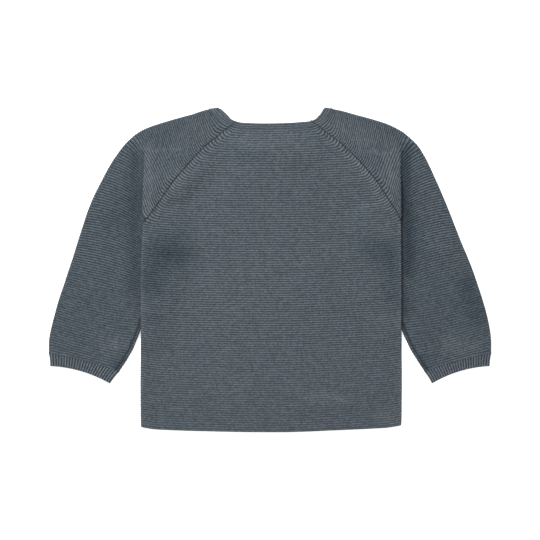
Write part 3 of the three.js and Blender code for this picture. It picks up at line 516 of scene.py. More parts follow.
def knit_material(name, dark_tone_and_groove_shade, yarn_colour, light_tone_and_top_highlight, contrast=1.0, lobe=0.3):
    """Cotton yarn, knitted: painted shade in the grooves, painted highlights on the stitches in two staggered lines on
    each ridge.
    """
    material, tree, shader = new_material(name, 0.95, sheen=0.04)
    knit = add(tree, "ShaderNodeUVMap", uv_map="knit").outputs[0]
    place = add(tree, "ShaderNodeTexCoord").outputs["Object"]
    # Tension: the ridges wander a little along their way
    wander = noise_at(tree, knit, 0.4, 3.0)
    axes = add(tree, "ShaderNodeSeparateXYZ", {0: knit}).outputs
    count = calc(tree, "MULTIPLY_ADD", wander, 0.2, axes["Y"])
    count = calc(tree, "SUBTRACT", count, 0.1)
    turn = calc(tree, "MULTIPLY", count, 2 * np.pi)
    wave = calc(tree, "COSINE", turn)
    crest = calc(tree, "MULTIPLY_ADD", wave, -0.5, 0.5)
    # Stitches: two lines of bumps on each ridge, half a stitch apart
    line = calc(tree, "MULTIPLY", count, 2.0)
    line = calc(tree, "FLOOR", line)
    stitch = calc(tree, "MULTIPLY_ADD", line, 0.5, axes["X"])
    swing = calc(tree, "MULTIPLY", stitch, 2 * np.pi)
    bump_wave = calc(tree, "COSINE", swing)
    bumps = calc(tree, "MULTIPLY_ADD", bump_wave, lobe / 2, 1 - lobe / 2)
    height = calc(tree, "MULTIPLY", crest, bumps)
    # Beside the raglan the painted shade in the grooves and the painted highlight on the crests are stronger, and so
    # is the bump
    ridge_shade_and_bump = add(tree, "ShaderNodeAttribute", attribute_name="ridge_shade_and_bump").outputs["Fac"]
    swell = calc(tree, "SUBTRACT", crest, 0.45)
    swell = calc(tree, "MULTIPLY", swell, ridge_shade_and_bump)
    height = calc(tree, "MULTIPLY_ADD", swell, 0.9, height)
    # Each stitch takes up the light a little differently
    number = calc(tree, "FLOOR", stitch)
    cell = add(tree, "ShaderNodeCombineXYZ", {"X": number, "Y": line}).outputs[0]
    chance = add(tree, "ShaderNodeTexWhiteNoise", {"Vector": cell}, noise_dimensions="2D").outputs["Value"]
    streak_map = add(tree, "ShaderNodeVectorMath", {0: knit, 1: (0.09, 1.0, 0)}, operation="MULTIPLY").outputs[0]
    streak = noise_at(tree, streak_map, 0.9, 4.0)
    fibre = noise_at(tree, place, 1700.0, 3.0)
    dash_map = add(tree, "ShaderNodeVectorMath", {0: knit, 1: (2.0, 2.4, 0)}, operation="MULTIPLY").outputs[0]
    dash = noise_at(tree, dash_map, 1.0, 2.0)
    lift = calc(tree, "MULTIPLY_ADD", chance, 0.5, height)
    lift = calc(tree, "MULTIPLY_ADD", streak, 0.25, lift)
    lift = calc(tree, "MULTIPLY_ADD", dash, 0.55, lift)
    lift = calc(tree, "MULTIPLY_ADD", fibre, 0.2, lift)
    # The ramp's dark end is painted shade in the grooves and its light end a painted highlight on the crests and
    # stitches, mixed with random tone
    tone = add(tree, "ShaderNodeMapRange", {
        "Value": lift, "From Min": 1.12 - 0.86 / contrast, "From Max": 1.12 + 0.86 / contrast,
    }).outputs["Result"]
    ramp = add(tree, "ShaderNodeValToRGB", {"Fac": tone})
    ramp.color_ramp.elements[0].color = linear(dark_tone_and_groove_shade)
    ramp.color_ramp.elements[1].color = linear(light_tone_and_top_highlight)
    ramp.color_ramp.elements.new(0.5).color = linear(yarn_colour)
    # Dye: faint teal and violet casts, a few centimetres across
    patch = noise_at(tree, place, 38.0, 2.0)
    hue = add(tree, "ShaderNodeMapRange", {
        "Value": patch, "From Min": 0.3, "From Max": 0.7, "To Min": 0.494, "To Max": 0.506,
    }).outputs["Result"]
    # Painted shade from a point attribute: darker and more saturated where it is above zero, a painted highlight where
    # it is below
    painted_shade_amount = add(tree, "ShaderNodeAttribute", attribute_name="painted_shade").outputs["Fac"]
    value = calc(tree, "SUBTRACT", 1.0, painted_shade_amount)
    depth = calc(tree, "MULTIPLY_ADD", painted_shade_amount, 0.95, 1.0)
    dyed_and_shaded = add(tree, "ShaderNodeHueSaturation", {
        "Hue": hue, "Saturation": depth, "Value": value, "Color": ramp.outputs["Color"],
    }).outputs[0]
    tree.links.new(dyed_and_shaded, shader.inputs["Base Color"])
    bump = add(tree, "ShaderNodeBump", {"Height": lift, "Strength": 0.6, "Distance": 0.0004}).outputs[0]
    tree.links.new(bump, shader.inputs["Normal"])
    return material


# Combed cotton in garter stitch: matte, broken into short bumps with painted highlights between grooves with painted
# shade.
garter_cotton = knit_material("cotton_garter_knit", "#23292F", "#474F56", "#6C747B")
# The same yarn in rib: long smooth columns, with deeper gaps between them that carry darker painted shade.
rib_cotton = knit_material("cotton_rib_knit", "#1F252B", "#495158", "#757D84", lobe=0.2)
# The band is linked on along the neck, so its rows run along the edge and lie flatter, with weaker painted shade and
# highlight.
band_cotton = knit_material("cotton_band_knit", "#272D33", "#485057", "#6C747B", contrast=0.8)


def yarn_material(name, dark, light):
    """A single yarn seen close: fine fibres along a matte thread, a little fuzzy."""
    material, tree, shader = new_material(name, 0.95, sheen=0.2)
    place = add(tree, "ShaderNodeTexCoord").outputs["Object"]
    fibre = noise_at(tree, place, 2600.0, 3.0)
    tree.links.new(two_tone(tree, fibre, (0.3, 0.7), (dark, light)), shader.inputs["Base Color"])
    bump = add(tree, "ShaderNodeBump", {"Height": fibre, "Strength": 0.5, "Distance": 0.0001}).outputs[0]
    tree.links.new(bump, shader.inputs["Normal"])
    return material


# Linking yarn lies deep between two edges, where it stays in shade.
linking_yarn = yarn_material("cotton_linking_yarn", "#161B20", "#2C333A")
# The neckband's linking lies on top, in the yarn of the garment.
neck_yarn = yarn_material("cotton_neck_linking_yarn", "#3A434A", "#5F6970")
print("materials:", [m.name for m in bpy.data.materials])

# %% [markdown]
# ## The back
# The largest panel, and the one that shows. On the real cardigan it is one piece of garter stitch, shaped along the
# raglan. Its ridges run level and turn up over the last stitches before the seam, because the shaping is worked a
# few stitches in from the edge. The panel could be cut from a plane, but then the ridges would be cut off at the
# seam. So its grid is filled in between the four edges, and its lines bend near the seam as the stitches do.

# %% Neck edges


def curve_through(points, count):
    """Points on a smooth curve through a list of points."""
    places = passed_by(np.sqrt(np.hypot(*np.diff(points, axis=0).T)))
    return glide(places, points, np.linspace(0, places[-1], count))


def neck_line(points, side_at_start, side_at_end=0):
    """The neck edge, and at each point the direction from it into the panel, turned to the fold at a shoulder."""
    edge = curve_through(points, 241)
    along = np.gradient(edge, axis=0)
    along /= np.hypot(*along.T)[:, None]
    square = np.stack([along[:, 1], -along[:, 0]], 1)
    square *= np.where(square[:, 1] > 0, -1, 1)[:, None]
    passed = passed_by(np.hypot(*np.diff(edge, axis=0).T))
    way = square
    for side, distance in ((side_at_start, passed), (side_at_end, passed[-1] - passed)):
        if side:
            turned = smooth(distance / 9)[:, None]
            way = np.array([side * 0.99, -0.13]) * (1 - turned) + way * turned
    return edge, way / np.hypot(*way.T)[:, None], passed


def front_neck_points(side):
    shoulder = BACK_NECK[0] if side < 0 else BACK_NECK[-1]
    end = np.array([-side * LAP_HALF, FRONT_NECK_Y])
    shares = FRONT_NECK.copy()
    shares[:, 0] -= FRONT_NECK_SLACK[side]
    return shoulder + (end - shoulder) * shares


def below_band(points, sides):
    edge, way, _ = neck_line(points, *sides)
    return edge + way * (NECKBAND_WIDTH + SEAM_GAP / 2)


def meets_raglan(line, side):
    """Index on a line at which it meets the raglan seam, counted from the shoulder at its start."""
    outside = side * (line[:, 0] - edge_x(RAGLAN, side, line[:, 1])) > 0
    return int(np.argmin(outside))


print("neck opening across, in mm:", round(float(BACK_NECK[-1, 0] - BACK_NECK[0, 0]), 1))

# %% Filling a panel
SEAM_HALF, BACK_RIDGES = 0.12, 131
BEND_WIDTH, BEND_SHIFT = 8.0, 3.1
SEAM_SINE = 0.79


def column_places(width, near, far, cells):
    """Distances from the first edge at which a row has its columns, for rows of different widths."""
    near, far = np.array(near), np.array(far)
    shares = np.arange(1, cells) / cells
    middle = near[-1] + (width[:, None] - near[-1] - far[-1]) * shares
    ones = np.ones((len(width), 1))
    return np.concatenate([ones * near, middle, width[:, None] - far[::-1]], 1)


def read_line(line, share):
    places = np.linspace(0, 1, len(line))
    return np.stack([np.interp(share, places, line[:, k]) for k in (0, 1)], -1)


def fill_panel(hem_x, top_line, edge_at, near, far, cells, bend_sides):
    """Points of a panel between hem, neck and two sides. edge_at gives the x of each side at a height."""
    v = np.linspace(0, 1, BACK_RIDGES * STEPS_PER_RIDGE + 1)[:, None]
    hem_ends = [np.array([x, read(HEM, 1, x)]) for x in hem_x]
    sides = [
        lambda share, k=k: hem_ends[k][1] + (top_line[-k][1] - hem_ends[k][1]) * share for k in (0, 1)
    ]
    width = edge_at[1](sides[1](v[:, 0])) - edge_at[0](sides[0](v[:, 0]))
    far_away = column_places(np.abs(width), near, far, cells)
    u = far_away / np.abs(width)[:, None]
    # Rows slide up the raglan over the last stitches
    distance = [far_away * SEAM_SINE, (np.abs(width)[:, None] - far_away) * SEAM_SINE]
    top_y = min(top_line[0][1], top_line[-1][1])
    y_here = sides[0](v)
    slide = smooth((y_here - RAGLAN[0, 0] + 6) / 14) * smooth((top_y - y_here) / 7)
    shift = np.zeros_like(u)
    for k in bend_sides:
        shift += BEND_SHIFT * np.clip(1 - distance[k] / BEND_WIDTH, 0, 1) ** 2
    w = np.clip(v + slide * shift / (top_y - hem_ends[0][1]), 0, 1)
    hem_at_u = hem_x[0] + (hem_x[1] - hem_x[0]) * u
    hem_y = glide(HEM[:, 0], HEM[:, 1], hem_at_u)
    top = read_line(top_line, u)
    left_y, right_y = sides[0](w), sides[1](w)
    left_x, right_x = edge_at[0](left_y), edge_at[1](right_y)
    corners = [hem_ends[0], hem_ends[1], top_line[0], top_line[-1]]
    flat = [
        (1 - u) * (1 - w) * corners[0][k] + u * (1 - w) * corners[1][k]
        + (1 - u) * w * corners[2][k] + u * w * corners[3][k] for k in (0, 1)
    ]
    x = (1 - w) * hem_at_u + w * top[..., 0] + (1 - u) * left_x + u * right_x - flat[0]
    y = (1 - w) * hem_y + w * top[..., 1] + (1 - u) * left_y + u * right_y - flat[1]
    return x, y, v, far_away, np.abs(width)[:, None] - far_away


def body_edge(side):
    """The x of a body side at a height: the side below the underarm, the raglan seam above it."""
    def at(y):
        below, above = edge_x(SIDE, side, y), edge_x(RAGLAN, side, y) - side * SEAM_HALF
        return np.where(y < RAGLAN[0, 0], below, above)
    return at


# %% Making the back
SIDE_RADIUS, SEAM_RADIUS, END_RADIUS = 1.4, 0.75, 1.1
# How much stronger the painted ridge shade, highlight and bump are beside the raglan
SEAM_RIDGE_SHADE_AND_BUMP = 0.3
# Cells of the fine outer face and of the plain inner one
BACK_CELLS, FRONT_CELLS, PLAIN_RELIEF = (108, 14), (44, 8), 0.25
FINE_EDGE = [0, 0.25, 0.7, 1.4, 2.4, 3.6, 5, 6.6, 8.4, 10.4]
PLAIN_EDGE = [0, 0.7, 1.8, 4, 8]


def rim(distance, y, v):
    """How far the outer face falls at the rim: rounder at the open side than at the seam."""
    side = np.where(y < RAGLAN[0, 0], edge_fall(distance, SIDE_RADIUS), edge_fall(distance, SEAM_RADIUS))
    length = BACK_RIDGES * BODY_RIDGE
    ends = edge_fall(np.minimum(v, 1 - v) * length, END_RADIUS)
    return np.maximum(side, ends)


def relief_weight(distance, y, v):
    """The relief is full on the panel and lower along the seam and the pressed sides."""
    calm = np.where(y < RAGLAN[0, 0], 0.35 + 0.65 * smooth((distance - 0.4) / 2.6), 0.75 + 0.25 * smooth(distance / 2))
    return calm * smooth(np.minimum(v, 1 - v) * BACK_RIDGES * 2 + 0.25)


def close_panel(cloth, upper, lower):
    cloth.wall(upper[:, 0], lower[:, 0], flip=True)
    cloth.wall(upper[:, -1], lower[:, -1])
    cloth.zip_edges(upper[0], lower[0], flip=True)
    cloth.zip_edges(upper[-1], lower[-1])


def open_edges(data):
    """How many edges don't lie between exactly two faces."""
    edges = np.empty(len(data.loops), np.int32)
    data.loops.foreach_get("edge_index", edges)
    return int((np.bincount(edges, minlength=len(data.edges)) != 2).sum())


TENSION_SCALE = 260.0


def new_piece(name, data, material, depth, sharpness, uneven, seed):
    piece = new_object(name, data)
    run_tree(piece, relief_tree, {
        "Groove Depth": depth * MM, "Groove Sharpness": sharpness, "Unevenness": uneven * MM,
        "Tension Scale": TENSION_SCALE, "Seed": seed, "Material": material,
    })
    triangles = sum(len(p.vertices) - 2 for p in piece.data.polygons)
    lowest = min(v.co.z for v in piece.data.vertices) / MM
    print(f"{name}: {triangles} triangles, open edges {open_edges(piece.data)}, lowest {lowest:.2f} mm")
    return piece


def seam_ridge_shade_and_bump(distance, y):
    """Stronger painted ridge shade, highlight and bump on the last stitches beside the raglan, weaker towards the hem
    and just below the neck.
    """
    near = 1 - smooth((distance * SEAM_SINE - 4.5) / 3)
    weaker = 0.35 * smooth((-40 - y) / 80) + 0.2 * smooth((y - 106) / 14) * (1 - near)
    return SEAM_RIDGE_SHADE_AND_BUMP * near * smooth((y - RAGLAN[0, 0] + 4) / 6) - weaker


def cut_area(x, y):
    """The plan area of a grid in square metres, as its cloth was cut."""
    a, b = x[1:, 1:] - x[:-1, :-1], y[1:, 1:] - y[:-1, :-1]
    c, d = x[:-1, 1:] - x[1:, :-1], y[:-1, 1:] - y[1:, :-1]
    return float(np.abs(a * d - b * c).sum() / 2) * MM * MM


# Depth of the grooves, how sharply they are cut, and how much the depth varies
GARTER_RELIEF = (0.38, 1.3, 0.14)
back_top = below_band(BACK_NECK, (-1, 1))
first = meets_raglan(back_top, -1)
last = len(back_top) - 1 - meets_raglan(back_top[::-1], 1)
back_line = back_top[first:last + 1].copy()
back_hem = (HEM[0, 0], HEM[-1, 0])
edges = (body_edge(-1), body_edge(1))
back_cloth = Cloth()
x, y, v, from_left, from_right = fill_panel(back_hem, back_line, edges, FINE_EDGE, FINE_EDGE, BACK_CELLS[0], (0, 1))
near = np.minimum(from_left, from_right)
z = back_z(x, y) + WALL + drape(BACK_CREASES, x, y) - rim(near, y, v)
# Painted shade and highlights from the list, and a painted highlight along the body's sides below the underarm
painted_shade = drape(BACK_PAINTED_SHADES, x, y, bow=0) - 0.12 * bell(near, 2.6) * (y < RAGLAN[0, 0])
upper = back_cloth.add_grid(
    x, y, z, x / STITCH, v * BACK_RIDGES, relief_weight(near, y, v), painted_shade=painted_shade, ridge_shade_and_bump=seam_ridge_shade_and_bump(near, y),
)
back_cut = (np.ptp(x) * MM, np.ptp(y) * MM), cut_area(x, y)
x, y, v, from_left, from_right = fill_panel(back_hem, back_line, edges, PLAIN_EDGE, PLAIN_EDGE, BACK_CELLS[1], (0, 1))
z = back_z(x, y) + 0.8 * drape(BACK_CREASES, x, y)
lower = back_cloth.add_grid(x, y, z, x / STITCH, v * BACK_RIDGES, PLAIN_RELIEF * relief_weight(8, y, v), flip=True)
close_panel(back_cloth, upper, lower)
back = new_piece("back_panel", back_cloth.mesh("back_panel"), garter_cotton, *GARTER_RELIEF, 3.0)

# %% [markdown]
# ## The fronts
# Both fronts lie face down below the back and lap at the centre. The left one is the outer one: it lies on the
# buttons. Only their outer faces are seen, from below, so these are fine and the faces that lie in between are
# coarser.

# %% Making both fronts
LAP_FINE = [0, 0.3, 0.8, 1.5, 2.6, 4.2, 6.4, 9, 12.5, 16, 19.5, 23, 27]
LAP_PLAIN = [0, 0.8, 5.5, 12.5, 19.5, 26.5, 34, 41]


def make_front(name, side, base_z, seed):
    line = below_band(front_neck_points(side), (side, 0))
    start = meets_raglan(line, side)
    line = line[start:].copy()
    centre = -side * LAP_HALF
    line[-1, 0] = centre
    hem_x = (HEM[0, 0] if side < 0 else HEM[-1, 0], centre)
    sides = (body_edge(side), lambda y: np.full(np.shape(y), centre, float))
    cloth = Cloth()
    x, y, v, from_side, from_lap = fill_panel(hem_x, line, sides, FINE_EDGE, LAP_FINE, FRONT_CELLS[0], (0,))
    lift = np.maximum(rim(from_side, y, v), edge_fall(from_lap, SEAM_RADIUS))
    z = base_z(x, y) + lift
    weights = relief_weight(from_side, y, v) * (0.4 + 0.6 * smooth(from_lap / 2))
    ridge_shade_and_bump = seam_ridge_shade_and_bump(from_side, y)
    lower = cloth.add_grid(x, y, z, x / STITCH, v * BACK_RIDGES, weights, flip=True, ridge_shade_and_bump=ridge_shade_and_bump)
    cut = (np.ptp(x) * MM, np.ptp(y) * MM), cut_area(x, y)
    x, y, v, from_side, from_lap = fill_panel(hem_x, line, sides, PLAIN_EDGE, LAP_PLAIN, FRONT_CELLS[1], (0,))
    z = base_z(x, y) + WALL
    upper = cloth.add_grid(x, y, z, x / STITCH, v * BACK_RIDGES, PLAIN_RELIEF * relief_weight(8, y, v))
    close_panel(cloth, upper, lower)
    return new_piece(name, cloth.mesh(name), garter_cotton, *GARTER_RELIEF, seed), cut


front_left, front_left_cut = make_front("front_left_panel", -1, outer_front_z, 5.0)
front_right, front_right_cut = make_front("front_right_panel", 1, inner_front_z, 7.0)
print("back cut in m and m2:", back_cut, "left front:", front_left_cut)

# %% [markdown]
# ## The sleeves
# Each sleeve is a tube of garter stitch, pressed flat. It is turned down beside the body, so its rows fan out from
# the underarm, and the slack lies in a tuck: above it the sleeve's upper part ends in a fold in line with the
# body's side. The tube is lofted through rows that are measured along the ridges, and the folded part is a shell
# of its own that grows out of the tube and ends at the raglan seam.

# %% Rows of a sleeve
FOLD_ANGLES = np.radians([0, 14, 30, 50, 70, 90])


def row_shape(a, b, c, d):
    """A point at distance d on the smooth curve through three points, for many rows at once."""
    first, second = np.linalg.norm(b - a, axis=-1), np.linalg.norm(c - b, axis=-1)
    length = first + second
    t, tb = d / length, first / length
    wa, wb, wc = (t - tb) * (t - 1) / tb, t * (t - 1) / (tb * (tb - 1)), t * (t - tb) / (1 - tb)
    return a * wa[..., None] + b * wb[..., None] + c * wc[..., None]


class SleeveRows:
    """The rows of one sleeve, counted in ridges from the neck to the cuff."""

    def __init__(self, side):
        self.side = side
        inner_y = SLEEVE[:, 1]
        on_seam = np.arange(len(SLEEVE)) < SEAM_ROWS
        inner_x = np.where(on_seam, edge_x(RAGLAN, side, inner_y), side * SLEEVE[:, 0] + SLEEVE[:, 2])
        lean = np.where(on_seam, read(RAGLAN, 2, inner_y), SLEEVE[:, 2])
        self.a = np.stack([inner_x, inner_y], 1)
        self.b = np.stack([side * SLEEVE[:, 3] + (lean + SLEEVE[:, 7]) / 2, SLEEVE[:, 4]], 1)
        self.c = np.stack([side * SLEEVE[:, 5] + SLEEVE[:, 7], SLEEVE[:, 6]], 1)
        gaps = []
        for share in (0.55, 0.75, 0.95):
            length = np.linalg.norm(self.b - self.a, axis=1) + np.linalg.norm(self.c - self.b, axis=1)
            p = row_shape(self.a, self.b, self.c, share * length)
            q = row_shape(self.a, self.b, self.c, (share + 0.04) * length)
            way = (q - p) / np.linalg.norm(q - p, axis=1)[:, None]
            step = p[1:] - p[:-1]
            gaps.append(np.abs(way[:-1, 0] * step[:, 1] - way[:-1, 1] * step[:, 0]))
        # The ridges are drawn closer together along the raglan, and most of all at the neck
        closer = np.interp(np.arange(len(SLEEVE) - 1), [0, 2, SEAM_ROWS - 2, SEAM_ROWS + 3], [1.3, 1.22, 1.15, 1])
        gaps = np.mean(gaps, axis=0)
        self.cut_length = float(gaps.sum())
        passed = passed_by(gaps * closer) / SLEEVE_RIDGE
        self.ridges = int(round(passed[-1]))
        self.counts = passed * self.ridges / passed[-1]

    def ends(self, count):
        """Inner, middle and outer point of the row at a count of ridges, or of many rows."""
        seam_end = self.counts[SEAM_ROWS - 1]
        inner = glide(self.counts, self.a, count)
        straight = np.stack([np.interp(count, self.counts, self.a[:, k]) for k in (0, 1)], -1)
        seam = np.stack([edge_x(RAGLAN, self.side, inner[..., 1]) + self.side * SEAM_HALF, inner[..., 1]], -1)
        a = np.where((count <= seam_end)[..., None], seam, straight)
        return a, glide(self.counts, self.b, count), glide(self.counts, self.c, count)

    def length(self, count):
        a, b, c = self.ends(count)
        return np.linalg.norm(b - a, axis=-1) + np.linalg.norm(c - b, axis=-1)


sleeve_rows = {side: SleeveRows(side) for side in (-1, 1)}
print("ridges on each sleeve:", [sleeve_rows[s].ridges for s in (-1, 1)])

# %% The tube of a sleeve
UNDERARM_SEAM = 3.6
INNER_COLUMNS = [2.2, 2.75, 3.15, 3.6, 4.05, 4.5, 5.4, 6.6, 8]
SLEEVE_BEND = 1.05
# Painted shade over the whole sleeve, and the base strength of its painted ridge shade, highlight and bump
SLEEVE_PAINTED_SHADE, SLEEVE_RIDGE_SHADE_AND_BUMP = 0.1, 0.12
SLEEVE_CELLS = (34, 20)


def tube_grid(rows, counts, cells, upper):
    """One face of the flattened tube, from its inner edge to its outer fold."""
    seam_end = rows.counts[SEAM_ROWS - 1]
    radius = 0.7 + (FOLD_RADIUS - 0.7) * smooth((counts - seam_end) / 4)
    length = rows.length(counts)
    inner = radius[:, None] * (1 - np.cos(FOLD_ANGLES))
    outer = length[:, None] - FOLD_RADIUS * (1 - np.cos(FOLD_ANGLES[::-1]))
    seam_zone = np.ones((len(counts), 1)) * (np.array(INNER_COLUMNS) if upper else np.array([4.0]))
    start, end = seam_zone[:, -1:], outer[:, :1]
    middle = start + (end - start) * np.arange(1, cells) / cells
    d = np.concatenate([inner, seam_zone, middle, outer], 1)
    half = np.full(d.shape, TWO_PLY / 2)
    n = len(FOLD_ANGLES)
    half[:, :n] = TWO_PLY / 2 - radius[:, None] * (1 - np.sin(FOLD_ANGLES))
    half[:, -n:] = FOLD_RADIUS * np.sin(FOLD_ANGLES[::-1])
    c = counts[:, None] + np.zeros_like(d)
    bend = SLEEVE_BEND * smooth(c / 4) * np.clip(1 - d / 7.5, 0, 1) ** 2
    c = c - bend * (1 - smooth((c - seam_end + 1) / 2))
    a, b, far = rows.ends(c)
    stretched = d * (rows.length(c) / length[:, None])
    p = row_shape(a, b, far, stretched)
    return p, d, half, length[:, None] - d


def unfolded(p):
    """One where the rows lie open, falling to zero where they are gathered over one another."""
    down, out = np.gradient(p, axis=0), np.gradient(p, axis=1)
    area = down[..., 0] * out[..., 1] - down[..., 1] * out[..., 0]
    share = area * np.sign(np.median(area)) / (np.abs(out).sum(-1) * SLEEVE_RIDGE / STEPS_PER_RIDGE)
    return smooth(2.5 * share - 0.8)


def make_sleeve(name, side, seed):
    rows = sleeve_rows[side]
    cloth = Cloth()
    counts = np.linspace(0, rows.ridges, rows.ridges * STEPS_PER_RIDGE + 1)
    number = counts[:, None]
    ends = smooth(np.minimum(number, rows.ridges - number) * 2 + 0.3)
    p, d, half, from_fold = tube_grid(rows, counts, SLEEVE_CELLS[0], True)
    late = smooth((number - rows.counts[14]) / 3)
    seam = 0.75 * bell(d - UNDERARM_SEAM, 0.55) * late
    swell = drape(SLEEVE_CREASES, p[..., 0], p[..., 1], side) * smooth(from_fold / 8) * smooth((d - 2) / 6)
    beside = number * 0 + np.where(number < rows.counts[SEAM_ROWS - 1] - 4, 1, late)
    z = TWO_PLY / 2 + half - seam + swell * beside
    weights = ends * (1 - 0.5 * bell(d - UNDERARM_SEAM, 0.9) * late)
    # Painted shade: the sleeve a little darker all over, the listed painted shadows beside the folds and patches, and
    # darker along the underarm seam
    painted_shade = SLEEVE_PAINTED_SHADE + drape(SLEEVE_PAINTED_SHADES, p[..., 0], p[..., 1], bow=0)
    painted_shade = painted_shade + (0.25 * bell(d - UNDERARM_SEAM, 0.7) + 0.05 * (d < 6)) * late
    # Stronger painted ridge shade and highlight beside the raglan, weaker towards the cuff
    ridge_shade_and_bump = SLEEVE_RIDGE_SHADE_AND_BUMP + SEAM_RIDGE_SHADE_AND_BUMP * (1 - smooth((d - 4.5) / 4)) * (number < rows.counts[SEAM_ROWS - 1])
    ridge_shade_and_bump = ridge_shade_and_bump - 0.4 * smooth((number - rows.counts[15]) / 22)
    top = cloth.add_grid(p[..., 0], p[..., 1], z, d / STITCH, number, weights, painted_shade=painted_shade, ridge_shade_and_bump=ridge_shade_and_bump)
    cut = (2 * rows.length(counts).max() * MM, rows.cut_length * MM), 2 * cut_area(p[..., 0], p[..., 1])
    q, e, half_below, _ = tube_grid(rows, counts, SLEEVE_CELLS[1], False)
    z = TWO_PLY / 2 - half_below
    cloth.add_grid(q[..., 0], q[..., 1], z, e / STITCH + 60, number, ends * unfolded(q), flip=True)
    # The slit between the plies
    slit_counts = np.linspace(0, rows.ridges, SLIT_ROWS)
    a, b, c = rows.ends(slit_counts)
    places = slit_places(rows.length(slit_counts)[:, None], WALL + 0.1)
    r = row_shape(a[:, None], b[:, None], c[:, None], places)
    slit = cloth.add_slit(r, places / STITCH, slit_counts[:, None])
    bottom = np.arange(e.size).reshape(e.shape) + top[-1, -1] + 1
    cloth.wall(top[:, 0], bottom[:, 0])
    cloth.faces.append((int(top[0, 0]), int(bottom[0, 0]), int(slit[0][0, 0])))
    for row, flipped in ((0, True), (-1, False)):
        cloth.zip_edges(top[row], slit[0][row], flip=flipped)
        cloth.zip_edges(bottom[row], slit[1][row], flip=not flipped)
    add_tuck(cloth, rows)
    return new_piece(name, cloth.mesh(name), garter_cotton, *GARTER_RELIEF, seed), cut


# %% The folded part above the tuck
TUCK_FIRST_ROW = 2
SEAM_STEP, FLATTER = 2.5, np.radians(11)
FOLD_TAIL = [0, 0.06, 0.16, 0.32, 0.6, 1.0, 1.6, 2.4, 3.4, 4.6, 6, 8]


def tuck_rows(rows, counts, d):
    """Points on the rows of the upper layer, which go on past the last row that the tube shares with it."""
    seam_end = rows.counts[SEAM_ROWS - 1]
    bend = SLEEVE_BEND * np.clip(1 - d / 7.5, 0, 1) ** 2
    c = counts - bend
    shared = np.minimum(c, seam_end)
    a, b, far = rows.ends(shared)
    p = row_shape(a, b, far, d)
    # Past that row, each row is the last one moved down the raglan seam
    beyond = np.clip(c - seam_end, 0, None)
    seam_y = rows.a[SEAM_ROWS - 1, 1] - beyond * SEAM_STEP * SEAM_SINE
    seam_x = edge_x(RAGLAN, rows.side, seam_y) + rows.side * SEAM_HALF
    moved = np.stack([seam_x, seam_y], -1) - rows.ends(np.full(c.shape, seam_end))[0]
    p = p + np.where((beyond > 0)[..., None], moved, 0)
    # Folded over, the rows lie a little flatter than in the tube below
    a = a + np.where((beyond > 0)[..., None], moved, 0)
    angle = -rows.side * FLATTER * smooth((c - rows.counts[3]) / (seam_end - rows.counts[3]))
    dx, dy = p[..., 0] - a[..., 0], p[..., 1] - a[..., 1]
    turned = np.stack([dx * np.cos(angle) - dy * np.sin(angle), dx * np.sin(angle) + dy * np.cos(angle)], -1)
    return a + turned


